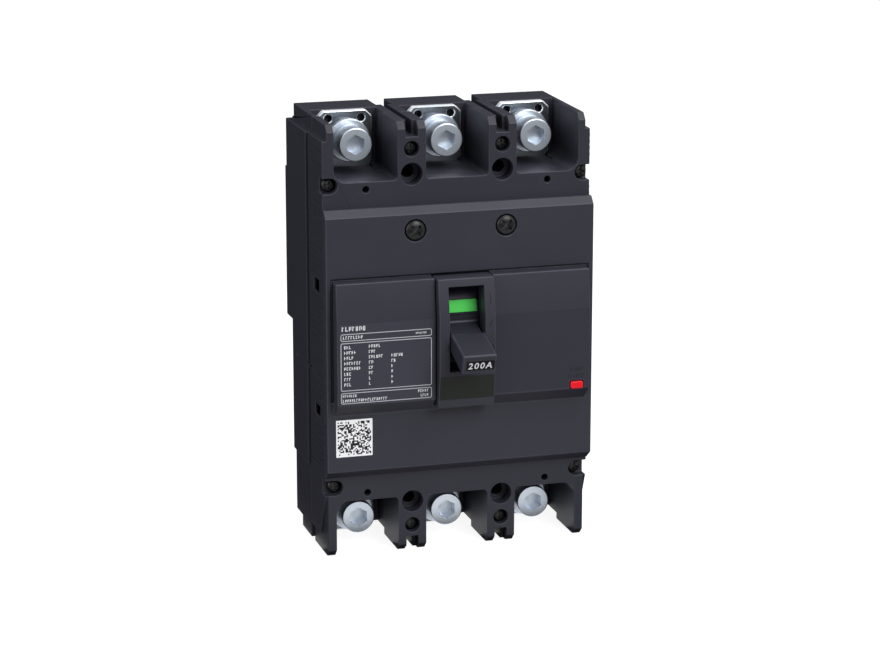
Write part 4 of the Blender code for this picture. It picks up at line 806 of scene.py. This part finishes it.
def lettering(
    name: str, words: str, size: tuple[float, float], finish: Finish, body: Body, place: Matrix,
    weight: float = 0.0, lean: float = 0.0,
) -> bpy.types.Object:
    """Printed sign as a thin mesh, fitted to a size.

    Args:
        name: Name of the piece.
        words: What it says.
        size: Width and height in millimetres.
        finish: Its ink.
        body: Body that it rides on.
        place: Where its centre goes, with its face along the matrix's +Z.
        weight: How far the strokes are thickened, as a share of the letter size.
        lean: Slant to the right, as a share of the height.

    Returns:
        The piece.
    """
    curve = bpy.data.curves.new(name, "FONT")
    curve.body = words
    curve.space_character = 1.25
    curve.offset = weight
    curve.resolution_u = 3
    text = bpy.data.objects.new(name, curve)
    bpy.context.scene.collection.objects.link(text)
    graph = bpy.context.evaluated_depsgraph_get()
    data = bpy.data.meshes.new_from_object(text.evaluated_get(graph))
    bpy.data.objects.remove(text, do_unlink=True)
    mesh = bmesh.new()
    mesh.from_mesh(data)
    bpy.data.meshes.remove(data)
    low = Vector(min(vert.co[axis] for vert in mesh.verts) for axis in range(2))
    high = Vector(max(vert.co[axis] for vert in mesh.verts) for axis in range(2))
    centre = (low + high) / 2
    scale = [size[axis] * MM / (high[axis] - low[axis]) for axis in range(2)]
    for vert in mesh.verts:
        up = (vert.co.y - centre.y) * scale[1]
        vert.co = ((vert.co.x - centre.x) * scale[0] + lean * up, up, 0)
    mesh.transform(place)
    return piece(name, mesh, finish, body, smooth=FLAT_PRINT)


def facing_front(x: float, depth: float, z: float) -> Matrix:
    """Matrix at a place, with its +Z towards the front and its +Y up."""
    return Matrix.Translation(at(x, depth, z)) @ Matrix.Rotation(math.pi / 2, 4, "X")


@dataclass
class Case:
    """Base and middle cover, with the ribs and recesses on their sides."""

    edge: float = 0.3
    rib_pitch: float = 2.45
    rib_span: Span = (-51.0, 74.0)
    rib_depth: Span = (35.2, 54.4)
    rib_height: float = 1.2
    rib_proud: float = 0.22
    side: float = 51.6
    base_side: float = 52.5
    screw_recess: Span = (56.0, 64.0)
    window_depth: Span = (40.6, 48.8)
    window_heights: tuple[Span, Span] = ((18.7, 23.6), (-29.2, -25.0))
    window_cut: float = 2.0
    rib_clear: float = 0.4
    rib_sunk: float = 0.1
    rib_edge: float = 0.09
    slot_cut: float = 0.7
    slot_depth: Span = (15.0, 50.0)
    slot_height: Span = (-13.4, -12.5)
    room: tuple[Span, Span, Span] = ((-50.0, 50.0), (1.0, 54.5), (-50.0, 50.0))

    def build(self) -> None:
        """Make both shells."""
        middle = Shape.combine(Shape.node("middle_cover"), Join.DIFFERENCE, self.side_cuts(self.side))
        Shape.merge_flats(middle)
        Shape.round_edges(middle, self.edge, room=self.room)
        piece("middle_shell", middle, CASE_PLASTIC, Body.CASE, ["middle_cover"])
        base = Shape.combine(Shape.node("base"), Join.DIFFERENCE, self.side_slots(self.base_side))
        Shape.merge_flats(base)
        Shape.round_edges(base, self.edge, room=self.room)
        piece("base_shell", base, CASE_PLASTIC, Body.CASE, ["base"])

    def side_slots(self, wall: float) -> list[bmesh.types.BMesh]:
        """Cutters of the shallow slot along both sides of a shell."""
        spans = [self.across(side, wall - self.slot_cut, wall + CUT_PAST) for side in Side]
        return [Shape.block(x, self.slot_depth, self.slot_height) for x in spans]

    @staticmethod
    def across(side: Side, near: float, far: float) -> Span:
        """Span in x between two distances from the middle, on one side."""
        low, high = sorted((side.value * near, side.value * far))
        return low, high

    def side_cuts(self, wall: float) -> list[bmesh.types.BMesh]:
        """Cutters of the slots and windows in both sides of the middle cover."""
        cutters = self.side_slots(wall)
        for side in Side:
            x = self.across(side, wall - self.window_cut, wall + CUT_PAST)
            cutters += [Shape.block(x, self.window_depth, height) for height in self.window_heights]
        return cutters

    def rib_heights(self) -> list[float]:
        """Heights of the ribs, clear of the recesses in the sides."""
        gaps = [self.screw_recess, self.slot_height, *self.window_heights]
        reach = self.rib_height / 2 + self.rib_clear
        heights = []
        count = int((self.rib_span[1] - self.rib_span[0]) / self.rib_pitch)
        for index in range(count + 1):
            z = self.rib_span[1] - index * self.rib_pitch
            if all(z + reach < low or z - reach > high for low, high in gaps):
                heights.append(z)
        return heights

    def dress(self) -> None:
        """Add the ribs."""
        for side in Side:
            half = self.rib_height / 2
            x = self.across(side, self.side - self.rib_sunk, self.side + self.rib_proud)
            rib = Shape.block(x, self.rib_depth, (-half, half))
            Shape.round_edges(rib, self.rib_edge, 1)
            places = [(at(0, 0, z), 0.0) for z in self.rib_heights()]
            Repeats.spread(f"side_ribs_{side.name.lower()}", rib, places, CASE_PLASTIC, Body.CASE)


@dataclass
class Cover:
    """Front cover, escutcheon and what is printed on them."""

    edge: float = 0.4
    panel: float = 65.3
    flat: float = 60.0
    escutcheon: float = 69.0
    sticker_x: Span = (-48.2, -12.0)
    sticker_z: Span = (-20.2, 10.2)
    plate_x: Span = (-10.45, 10.45)
    plate_z: Span = (-20.7, -11.6)
    slope: tuple[tuple[float, float], tuple[float, float]] = ((69.0, -11.4), (66.9, -23.75))
    label_x: Span = (-48.35, -34.4)
    label_z: Span = (-41.9, -27.6)
    # Where the darker sheet of painted shade lies on the right panel, and its opening round the button.
    shade_x: Span = (11.3, 48.7)
    shade_z: Span = (-20.2, 10.1)
    shade_gap_x: Span = (40.4, 47.4)
    shade_gap_top: float = -16.9
    sticker_corner: float = 0.6
    label_corner: float = 0.2
    plate_thick: float = 0.08
    line: float = 0.28
    line_corner: float = 0.7
    line_x: Span = (-47.7, -12.9)
    line_heights: tuple[Span, ...] = ((3.9, 6.7), (-15.0, 3.3), (-19.9, -15.7))
    head_rows: tuple[Row, ...] = ((-47.2, 8.6, 9.2, 1.7), (-46.8, 5.3, 7.5, 1.25), (-19.0, 5.3, 4.6, 0.7))
    table_x: tuple[float, ...] = (-46.4, -37.0, -28.4)
    table_top: float = 1.6
    table_pitch: float = 2.02
    table_text: float = 1.2
    table_lengths: tuple[tuple[float, ...], ...] = (
        (2.4, 4.9), (4.6, 3.2), (3.8, 5.2, 5.0), (6.6, 1.8, 1.7),
        (6.8, 1.8, 0.9), (2.8, 1.8, 0.9), (2.8, 0.9, 0.9), (2.6, 0.9, 0.9),
    )
    foot_rows: tuple[Row, ...] = (
        (-47.0, -16.9, 5.2, 1.0), (-47.0, -18.7, 17.5, 1.1),
        (-18.2, -16.9, 4.2, 1.1), (-17.2, -18.6, 3.0, 1.0),
    )
    button_rows: tuple[Row, ...] = ((41.0, -13.2, 5.6, 1.4), (40.4, -15.7, 6.8, 1.4))
    print_pitch: float = 0.78
    print_stroke: float = 0.2
    print_width: Span = (0.55, 0.75)
    print_second: float = 0.6
    pattern_margin: float = 0.8
    pattern_cells: int = 26
    pattern_share: float = 0.47
    pattern_seed: int = 7
    mark_x: float = 9.0
    mark_heights: tuple[float, float, float] = (17.2, 8.0, -1.6)
    mark_on_depth: float = 67.75
    mark_on_slope: tuple[float, float] = (2.7, 14.8)
    mark_gap: float = 0.02

    def build(self) -> None:
        """Make the cover and the escutcheon."""
        rounded_node("front_cover_shell", "front_cover", self.edge, COVER_PLASTIC, Body.CASE)
        rounded_node("escutcheon_shell", "handle_escutcheon", self.edge, COVER_PLASTIC, Body.CASE)

    @staticmethod
    def film_sheet(name: str, outline: Outline, depth: float, finish: Finish) -> bpy.types.Object:
        """Thin sheet on a front face."""
        sheet = Shape.prism(outline, Axis.DEPTH, depth, depth + FILM)
        return piece(name, sheet, finish, Body.CASE, smooth=FLAT_PRINT)

    def frame_line(self, low: tuple[float, float], high: tuple[float, float]) -> bmesh.types.BMesh:
        """Printed rectangle with round corners."""
        outer = Shape.rounded_box(low, high, self.line_corner)
        inner_low = (low[0] + self.line, low[1] + self.line)
        inner_high = (high[0] - self.line, high[1] - self.line)
        inner = Shape.rounded_box(inner_low, inner_high, self.line_corner - self.line)
        mesh = bmesh.new()
        depth = self.panel + FILM + INK
        outer_ring = [mesh.verts.new(at(x, depth, z)) for x, z in outer]
        inner_ring = [mesh.verts.new(at(x, depth, z)) for x, z in inner]
        for index in range(len(outer)):
            after = (index + 1) % len(outer)
            mesh.faces.new((outer_ring[index], outer_ring[after], inner_ring[after], inner_ring[index]))
        for face in mesh.faces:
            face.normal_update()
            if face.normal.y > 0:
                face.normal_flip()
        return mesh

    def small_print(self, rows: Sequence[Row], depth: float, seed: int) -> bmesh.types.BMesh:
        """Rows of small marks that stand for print and can't be read.

        Args:
            rows: Left end, middle height, length and height of every row.
            depth: Depth that the marks lie on.
            seed: Seed of the chance in the marks.

        Returns:
            The marks as one mesh.
        """
        chance = random.Random(seed)
        layer = (depth, depth + INK)
        parts = []
        for left, middle, length, height in rows:
            pitch = height * self.print_pitch
            stroke = height * self.print_stroke
            low, high = middle - height / 2, middle + height / 2
            for index in range(max(1, round(length / pitch))):
                x = left + index * pitch
                wide = pitch * chance.uniform(*self.print_width)
                parts.append(Shape.block((x, x + stroke), layer, (low, high)))
                level = chance.choice((low, middle - stroke / 2, high - stroke))
                parts.append(Shape.block((x + stroke, x + wide), layer, (level, level + stroke)))
                if chance.random() < self.print_second:
                    foot = chance.choice((low, middle))
                    parts.append(Shape.block((x + wide - stroke, x + wide), layer, (foot + stroke, high)))
        return Shape.join(parts)

    def dress(self) -> None:
        """Add sticker, plate, label and marks."""
        low, high = zip(self.sticker_x, self.sticker_z)
        sticker = Shape.rounded_box(low, high, self.sticker_corner)
        self.film_sheet("rating_sticker", sticker, self.panel, STICKER)
        boxes = [tuple(zip(self.line_x, heights)) for heights in self.line_heights]
        lines = Shape.join([self.frame_line(low, high) for low, high in boxes])
        piece("rating_lines", lines, GREY_INK, Body.CASE, smooth=FLAT_PRINT)
        rows = list(self.head_rows)
        for index, lengths in enumerate(self.table_lengths):
            z = self.table_top - index * self.table_pitch
            rows += [(x, z, length, self.table_text) for x, length in zip(self.table_x, lengths)]
        rows += self.foot_rows
        printed = self.small_print(rows, self.panel + FILM, seed=3)
        piece("rating_print", printed, WHITE_INK, Body.CASE, smooth=FLAT_PRINT)
        self.name_plate()
        low, high = zip(self.label_x, self.label_z)
        self.film_sheet("white_label", Shape.rounded_box(low, high, self.label_corner), self.flat, PAPER)
        self.block_pattern()
        self.right_panel()
        self.signs()

    def right_panel(self) -> None:
        """Painted shade on the lower right panel as a darker sheet, open round the trip button, and the marks
        above the button.
        """
        (left, right), (low, high) = self.shade_x, self.shade_z
        (gap_left, gap_right), gap_top = self.shade_gap_x, self.shade_gap_top
        outline = [
            (left, low), (gap_left, low), (gap_left, gap_top), (gap_right, gap_top),
            (gap_right, low), (right, low), (right, high), (left, high),
        ]
        # Painted shade: darker sheet on the lower, upright part of the panel.
        self.film_sheet("right_panel_film", outline, self.panel, PANEL_SHADE)
        marks = self.small_print(self.button_rows, self.panel + FILM, seed=5)
        piece("button_marks", marks, DARK_INK, Body.CASE, smooth=FLAT_PRINT)

    def name_plate(self) -> None:
        """Bare dark plate on the sloping foot of the escutcheon."""
        (top_depth, top_z), (foot_depth, foot_z) = self.slope
        fall = (top_depth - foot_depth) / (top_z - foot_z)
        low, high = self.plate_z
        thick = self.plate_thick
        corners = ((low, 0.0), (high, 0.0), (high, thick), (low, thick))
        outline = [(top_depth - (top_z - z) * fall + lift, z) for z, lift in corners]
        plate = Shape.prism(outline, Axis.ACROSS, *self.plate_x)
        piece("bare_plate", plate, NAME_PLATE, Body.CASE, smooth=FLAT_PRINT)

    def block_pattern(self) -> None:
        """Chance pattern of dark squares on the white label."""
        width = self.label_x[1] - self.label_x[0] - 2 * self.pattern_margin
        half = width / (self.pattern_cells - 1) / 2
        source = Repeats.source(Shape.block((-half, half), (0, INK), (-half, half)), DARK_INK, FLAT_PRINT)
        values = {
            "Item": source, "Cells": self.pattern_cells, "Width": width * MM, "Share": self.pattern_share,
            "Seed": self.pattern_seed, "Finish": DARK_INK.material(),
        }
        made = Repeats.run("label_pattern", Repeats.blocks(), bpy.data.meshes.new("label_pattern"), values)
        bpy.data.objects.remove(source, do_unlink=True)
        centre_x = sum(self.label_x) / 2
        centre_z = sum(self.label_z) / 2
        made.data.transform(Matrix.Translation(at(centre_x, self.flat + FILM, centre_z)))
        attach(made, Body.CASE, ())

    def signs(self) -> None:
        """ON, tripped and OFF marks beside the handle."""
        fall = math.atan2(*self.mark_on_slope)
        on_z, tripped_z, off_z = self.mark_heights
        upright = Matrix.Rotation(math.pi / 2 - fall, 4, "X")
        on = Matrix.Translation(at(self.mark_x, self.mark_on_depth, on_z)) @ upright
        lettering("mark_on", "I", (0.45, 4.2), DARK_INK, Body.CASE, on)
        tripped = facing_front(self.mark_x, self.escutcheon + self.mark_gap, tripped_z)
        lettering("mark_tripped", "/", (1.5, 2.6), DARK_INK, Body.CASE, tripped)
        off = facing_front(self.mark_x, self.escutcheon + self.mark_gap, off_z)
        lettering("mark_off", "O", (3.0, 3.2), DARK_INK, Body.CASE, off)


@dataclass
class Handle:
    """Handle with its OFF strip and the number on its tip."""

    pivot_depth: float = 44.0
    pivot_z: float = 9.0
    tilt: float = 17.5
    edge: float = 0.7
    tip: float = 41.7
    label_x: Span = (-4.95, 5.8)
    label_up: Span = (-2.25, 1.55)
    strip_edge: float = 0.12
    number: str = "200A"
    number_size: tuple[float, float] = (9.2, 2.7)
    number_weight: float = 0.02
    number_lean: float = 0.12

    def world(self, forward: float, up: float) -> tuple[float, float]:
        """Depth and z of a point in the handle's own frame."""
        angle = math.radians(self.tilt)
        depth = self.pivot_depth + forward * math.cos(angle) + up * math.sin(angle)
        return depth, self.pivot_z + up * math.cos(angle) - forward * math.sin(angle)

    def build(self) -> None:
        """Make the handle and the strip."""
        rounded_node("handle_grip", "handle", self.edge, HANDLE_PLASTIC, Body.HANDLE)
        rounded_node("off_strip", "off_flag", self.strip_edge, GREEN_PLASTIC, Body.HANDLE)

    def dress(self) -> None:
        """Put the number label on the tip."""
        low, high = self.label_up
        front = self.tip + FILM
        corners = ((self.tip, low), (self.tip, high), (front, high), (front, low))
        label = Shape.prism([self.world(*corner) for corner in corners], Axis.ACROSS, *self.label_x)
        piece("tip_label", label, BLACK_LABEL, Body.HANDLE, smooth=FLAT_PRINT)
        depth, z = self.world(front + INK, (low + high) / 2)
        turn = Matrix.Rotation(math.pi / 2 + math.radians(self.tilt), 4, "X")
        place = Matrix.Translation(at(sum(self.label_x) / 2, depth, z)) @ turn
        lettering(
            "tip_number", self.number, self.number_size, WHITE_INK, Body.HANDLE, place, self.number_weight,
            self.number_lean,
        )


@dataclass
class TripButton:
    """Red trip button."""

    edge: float = 0.25

    def build(self) -> None:
        """Make the button."""
        rounded_node("trip_button_cap", "trip_button", self.edge, RED_PLASTIC, Body.BUTTON)

    def dress(self) -> None:
        """The sign over the button is part of the cover."""


@dataclass
class Terminals:
    """Terminal pads with their bolts and washers."""

    bolt_z: float = 72.2
    head_rear: float = 31.4
    head_height: float = 9.3
    head_radius: float = 6.3
    head_round: float = 0.45
    chamfer: float = 0.3
    shank_radius: float = 3.9
    shank_length: float = 15.5
    socket_flats: float = 6.6
    socket_depth: float = 5.0
    ring_rear: float = 24.3
    ring_radius: float = 7.0
    washer_rear: float = 28.1
    washer_front: float = 31.1
    washer_radius: float = 8.1
    washer_bore: float = 4.2
    ring_gap: float = 0.45
    ring_gap_reach: Span = (3.0, 8.0)
    ring_gap_stop: float = 0.1
    first_turn: float = 25.0
    next_turn: float = 50.0
    plate_edge: float = 0.45
    rim_x: float = 9.7
    rim_z: float = 81.6
    rim_corner: float = 89.3
    steps: int = 64

    def places(self) -> list[tuple[Vector, float]]:
        """Place of every bolt, with its own turn."""
        return [(at(x, 0, end.value * self.bolt_z), 0.0) for end in End for x in POLES.values()]

    @staticmethod
    def names(kind: str) -> list[str]:
        """CAD nodes of one kind at every terminal."""
        return [f"{kind}_{end.name.lower()}_{pole}" for end in End for pole in POLES]

    def bolt(self) -> bmesh.types.BMesh:
        """Socket cap bolt about the depth axis."""
        face = self.head_rear + self.head_height
        rear = self.head_rear
        tail = rear - self.shank_length
        radius, shank, cut = self.head_radius, self.shank_radius, self.chamfer
        rim = Shape.arc((radius - self.head_round, face - self.head_round), self.head_round, 0, 90, 4)
        profile = [(0, tail), (shank, tail), (shank, rear), (radius - cut, rear), (radius, rear + cut)]
        head = Shape.lathe([*profile, *rim, (0, face)], self.steps)
        corner = self.socket_flats / 2 / math.cos(math.pi / 6)
        hexagon = Shape.arc((0, 0), corner, 30, 330, 5)
        socket = Shape.prism(hexagon, Axis.DEPTH, face - self.socket_depth, face + CUT_PAST)
        return Shape.combine(head, Join.DIFFERENCE, [socket])

    def washers(self) -> bmesh.types.BMesh:
        """Flat washer and split spring ring about the depth axis."""
        low, middle, high = self.ring_rear, self.washer_rear, self.washer_front
        bore, ring, flat, cut = self.washer_bore, self.ring_radius, self.washer_radius, self.chamfer
        profile = [
            (bore, low), (ring - cut, low), (ring, low + cut), (ring, middle), (flat - cut, middle),
            (flat, middle + cut), (flat, high - cut), (flat - cut, high), (bore, high), (bore, low),
        ]
        mesh = Shape.lathe(profile, self.steps)
        bmesh.ops.remove_doubles(mesh, verts=mesh.verts, dist=1e-6)
        bmesh.ops.recalc_face_normals(mesh, faces=mesh.faces)
        gap_depth = (low - CUT_PAST, middle - self.ring_gap_stop)
        gap = Shape.block((-self.ring_gap, self.ring_gap), gap_depth, self.ring_gap_reach)
        return Shape.combine(mesh, Join.DIFFERENCE, [gap])

    def build(self) -> None:
        """Make the pads, bolts and washers."""
        for end in End:
            kind = "line_terminal" if end is End.TOP else "load_terminal"
            for pole, x in POLES.items():
                name, node = f"{kind}_plate_{pole}", f"{kind}_{pole}"
                self.paint_rim_highlight(rounded_node(name, node, self.plate_edge, TINNED_COPPER, Body.CASE), x)
        Repeats.spread(
            "terminal_bolts", self.bolt(), self.places(), BOLT_STEEL, Body.CASE, self.names("terminal_bolt"),
        )
        turned = []
        for index, (place, _) in enumerate(self.places()):
            turned.append((place, self.first_turn + self.next_turn * index))
        Repeats.spread(
            "terminal_washers", self.washers(), turned, BOLT_STEEL, Body.CASE, self.names("washer_set"),
        )

    def paint_rim_highlight(self, plate: bpy.types.Object, x: float) -> None:
        """Paint a highlight on the outer faces of a pad that don't face the front, in a pale duller finish.

        Args:
            plate: The pad.
            x: Middle of its pole.
        """
        # Painted highlight on the outer faces of the pad.
        plate.data.materials.append(PAD_RIM_HIGHLIGHT.material())
        for face in plate.data.polygons:
            across = abs(face.center.x / MM - x)
            along = abs(face.center.z / MM)
            outer = across > self.rim_x or along > self.rim_z or across + along > self.rim_corner
            if outer and abs(face.normal.y) < 0.9:
                face.material_index = 1

    def dress(self) -> None:
        """The terminals carry no print."""


@dataclass(frozen=True)
class ScrewSize:
    """Sizes of one kind of screw: depth of its seat, head radius and height, shank radius and length."""

    seat: float
    radius: float
    height: float
    shank: float
    length: float


@dataclass
class Screws:
    """Cross recess screws of the case and of the front cover."""

    barrier: tuple[float, float] = (17.5, 72.4)
    corner_top: tuple[float, float] = (48.6, 60.0)
    corner_bottom: tuple[float, float] = (47.4, -55.4)
    cover: tuple[float, float] = (17.5, 42.8)
    case_size: ScrewSize = ScrewSize(seat=50.9, radius=2.6, height=2.0, shank=1.5, length=31.5)
    cover_size: ScrewSize = ScrewSize(seat=58.6, radius=3.85, height=2.4, shank=1.25, length=15.5)
    case_turns: tuple[float, ...] = (4.0, 8.0, -3.0, 6.0, 2.0, -6.0, 5.0, 10.0)
    cover_turn: float = 45.0
    steps: int = 40
    dome_steps: int = 7
    straight_share: float = 0.35
    dome_power: float = 0.75
    arm_share: float = 0.66
    half_share: float = 0.17
    recess_share: float = 0.25
    cone_shares: tuple[float, float] = (0.2, 0.3)
    cone_tip: float = 0.3
    cone_steps: int = 16
    cutter_past: float = 1.0
    recess_slack: float = 1.02
    recess_margin: float = 0.5

    def head(self, size: ScrewSize) -> bmesh.types.BMesh:
        """Pan head screw with a cross recess, about the depth axis."""
        seat, radius, height = size.seat, size.radius, size.height
        tail = seat - size.length
        profile: Outline = [(0, tail), (size.shank, tail), (size.shank, seat), (radius, seat)]
        dome_start = seat + height * self.straight_share
        for step in range(self.dome_steps):
            angle = math.pi / 2 * step / self.dome_steps
            rise = height * (1 - self.straight_share) * math.sin(angle)
            profile.append((radius * math.cos(angle) ** self.dome_power, dome_start + rise))
        profile.append((0, seat + height))
        body = Shape.lathe(profile, self.steps)
        arm, half = radius * self.arm_share, radius * self.half_share
        deep, front = seat + height * self.recess_share, seat + height + self.cutter_past
        upright = Shape.block((-half, half), (deep, front), (-arm, arm))
        level = Shape.block((-arm, arm), (deep, front), (-half, half))
        cross = Shape.combine(upright, Join.UNION, [level])
        narrow, wide = (radius * share for share in self.cone_shares)
        cone: Outline = [(0, deep - self.cone_tip), (narrow, deep), (wide, front), (0, front)]
        made = Shape.combine(body, Join.DIFFERENCE, [cross, Shape.lathe(cone, self.cone_steps)])
        self.mark_recess_highlight(made, half * self.recess_slack, arm * self.recess_slack, deep - self.recess_margin)
        return made

    @staticmethod
    def mark_recess_highlight(mesh: bmesh.types.BMesh, half: float, arm: float, deep: float) -> None:
        """Mark the faces of the recess with the edge attribute, which paints them paler as a highlight.

        Args:
            mesh: The screw.
            half: Half the width of an arm of the cross.
            arm: Length of an arm.
            deep: Depth that the recess stays in front of.
        """
        layer = mesh.faces.layers.float.get("edge") or mesh.faces.layers.float.new("edge")
        for face in mesh.faces:
            middle = face.calc_center_median() / MM
            across, along = sorted((abs(middle.x), abs(middle.z)))
            if across < half and along < arm and -middle.y > deep:
                face[layer] = 1.0

    def build(self) -> None:
        """Make both kinds of screw."""
        places = []
        nodes = []
        turns = iter(self.case_turns)
        for end in End:
            corner = self.corner_top if end is End.TOP else self.corner_bottom
            barrier = (self.barrier[0], end.value * self.barrier[1])
            for side in Side:
                for kind, (x, z) in (("barrier", barrier), ("corner", corner)):
                    places.append((at(side.value * x, 0, z), next(turns)))
                    nodes.append(f"{kind}_screw_{end.name.lower()}_{side.name.lower()}")
        Repeats.spread("case_screws", self.head(self.case_size), places, BLACK_STEEL, Body.CASE, nodes)
        places = [(at(side.value * self.cover[0], 0, self.cover[1]), self.cover_turn) for side in Side]
        nodes = [f"cover_screw_{side.name.lower()}" for side in Side]
        Repeats.spread("cover_screws", self.head(self.cover_size), places, BLACK_STEEL, Body.CASE, nodes)

    def dress(self) -> None:
        """The screws carry no print."""


@dataclass(frozen=True)
class Lamp:
    """Soft area lamp, in metres and watts."""

    name: str
    place: Point
    aim: Point
    width: float
    height: float
    power: float

    def build(self) -> None:
        """Make the lamp and turn it to its aim."""
        data = bpy.data.lights.new(self.name, "AREA")
        data.shape = "RECTANGLE"
        data.size = self.width
        data.size_y = self.height
        data.energy = self.power
        made = bpy.data.objects.new(self.name, data)
        made.location = self.place
        made.rotation_euler = (Vector(self.aim) - Vector(self.place)).to_track_quat("-Z", "Y").to_euler()
        bpy.context.scene.collection.objects.link(made)


@dataclass
class Studio:
    """Floor, cards, lamps, world and camera, in metres and degrees."""

    camera_place: Point = (-0.30082, -1.06842, 0.27279)
    azimuth: float = -16.182
    elevation: float = 14.202
    lens: float = 119.2
    floor_z: float = -0.0826
    floor_half: float = 6.0
    floor_colour: Colour = (0.3, 0.3, 0.3)
    floor_lift: float = 0.9
    world_light: float = 0.28
    card_colour: Colour = (0.02, 0.02, 0.022)
    card_lift: float = 0.0004
    back_card: tuple[float, float, float] = (0.9, 0.1, 0.19)
    floor_card_x: Span = (0.0535, 0.9)
    floor_card_y: Span = (-0.1, 0.1)
    under_card: tuple[Span, Span] = ((-0.056, 0.056), (-0.061, -0.045))
    front_card: tuple[Span, Span] = ((-1.2, 1.2), (-1.7, -0.3))
    lamps: tuple[Lamp, ...] = (
        Lamp("overhead", (0.26, -0.2, 0.95), (0.26, -0.201, 0.0), 0.7, 0.8, 5.2),
        Lamp("key", (0.5, -1.3, 1.0), (0.0, 0.0, 0.0), 0.9, 0.9, 22.0),
        Lamp("fill", (-1.6, -0.35, 0.55), (0.0, 0.0, 0.0), 1.2, 1.2, 14.0),
    )

    def build(self) -> None:
        """Make the studio."""
        bpy.context.scene.view_settings.view_transform = "Standard"
        self.floor()
        half, y, top = self.back_card
        low = self.floor_z
        self.card("back_card", [(-half, y, low), (half, y, low), (half, y, top), (-half, y, top)])
        level = low + self.card_lift
        for side in Side:
            x = tuple(side.value * value for value in self.floor_card_x)
            self.card(f"floor_card_{side.name.lower()}", self.flat(x, self.floor_card_y, level))
        self.card("under_card", self.flat(*self.under_card, level))
        self.card("front_card", self.flat(*self.front_card, level))
        self.world()
        for lamp in self.lamps:
            lamp.build()
        self.camera()

    @staticmethod
    def flat(x: Span, y: Span, z: float) -> list[Point]:
        """Corners of a level sheet."""
        return [(x[0], y[0], z), (x[1], y[0], z), (x[1], y[1], z), (x[0], y[1], z)]

    @staticmethod
    def sheet(
        name: str, corners: Sequence[Point], colour: Colour,
    ) -> tuple[bpy.types.Object, bpy.types.NodeTree]:
        """Dull sheet.

        Args:
            name: Name of the sheet.
            corners: Its four corners.
            colour: Its colour.

        Returns:
            The sheet and the node tree of its material.
        """
        data = bpy.data.meshes.new(name)
        data.from_pydata(list(corners), [], [(0, 1, 2, 3)])
        made = bpy.data.objects.new(name, data)
        bpy.context.scene.collection.objects.link(made)
        finish = bpy.data.materials.new(name)
        finish.use_nodes = True
        shader = finish.node_tree.nodes["Principled BSDF"]
        shader.inputs["Base Color"].default_value = (*colour, 1)
        shader.inputs["Roughness"].default_value = 0.9
        shader.inputs["Specular IOR Level"].default_value = 0.0
        data.materials.append(finish)
        return made, finish.node_tree

    def card(self, name: str, corners: Sequence[Point]) -> None:
        """Dark card that only reflections show."""
        card, _ = self.sheet(name, corners, self.card_colour)
        for hidden in ("visible_camera", "visible_diffuse", "visible_transmission", "visible_shadow"):
            setattr(card, hidden, False)

    @staticmethod
    def background_rays(tree: bpy.types.NodeTree) -> bpy.types.Node:
        """Node that is 1 on the rays that show the background: to the camera, in metal and through glass."""
        path = add(tree, "ShaderNodeLightPath")
        direct = add(tree, "ShaderNodeMath", operation="MAXIMUM")
        every = add(tree, "ShaderNodeMath", operation="MAXIMUM")
        wire(tree, path, "Is Camera Ray", direct, 0)
        wire(tree, path, "Is Glossy Ray", direct, 1)
        wire(tree, direct, "Value", every, 0)
        wire(tree, path, "Is Transmission Ray", every, 1)
        return every

    def floor(self) -> None:
        """Pale floor that keeps the object's shadow."""
        span = (-self.floor_half, self.floor_half)
        floor, tree = self.sheet("floor", self.flat(span, span, self.floor_z), self.floor_colour)
        shader = tree.nodes["Principled BSDF"]
        shader.inputs["Emission Color"].default_value = (1, 1, 1, 1)
        lift = add(tree, "ShaderNodeMath", {1: self.floor_lift}, operation="MULTIPLY")
        wire(tree, self.background_rays(tree), "Value", lift, 0)
        wire(tree, lift, "Value", shader, "Emission Strength")

    def world(self) -> None:
        """White to the camera, in reflections and through glass, soft grey as light."""
        world = bpy.data.worlds.new("studio")
        bpy.context.scene.world = world
        world.use_nodes = True
        tree = world.node_tree
        background = tree.nodes["Background"]
        background.inputs["Color"].default_value = (1, 1, 1, 1)
        level = add(tree, "ShaderNodeMapRange", {"To Min": self.world_light, "To Max": 1.0})
        wire(tree, self.background_rays(tree), "Value", level, "Value")
        wire(tree, level, "Result", background, "Strength")

    def camera(self) -> None:
        """Camera at the photograph's place."""
        data = bpy.data.cameras.new("camera")
        data.lens = self.lens
        data.sensor_width = 36.0
        data.clip_start = 0.05
        data.clip_end = 50.0
        made = bpy.data.objects.new("camera", data)
        turn = math.radians(self.azimuth)
        rise = math.radians(self.elevation)
        ahead = Vector((-math.sin(turn) * math.cos(rise), math.cos(turn) * math.cos(rise), -math.sin(rise)))
        made.location = self.camera_place
        made.rotation_euler = ahead.to_track_quat("-Z", "Y").to_euler()
        bpy.context.scene.collection.objects.link(made)
        bpy.context.scene.camera = made


def main() -> None:
    """Build the breaker's looks and the studio round it."""
    logging.basicConfig(level=logging.INFO, format="%(name)s %(message)s")
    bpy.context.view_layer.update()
    for assembly in (Case(), Cover(), Handle(), TripButton(), Terminals(), Screws()):
        log.info("building %s", type(assembly).__name__)
        assembly.build()
        assembly.dress()
    Studio().build()


if __name__ == "__main__":
    main()
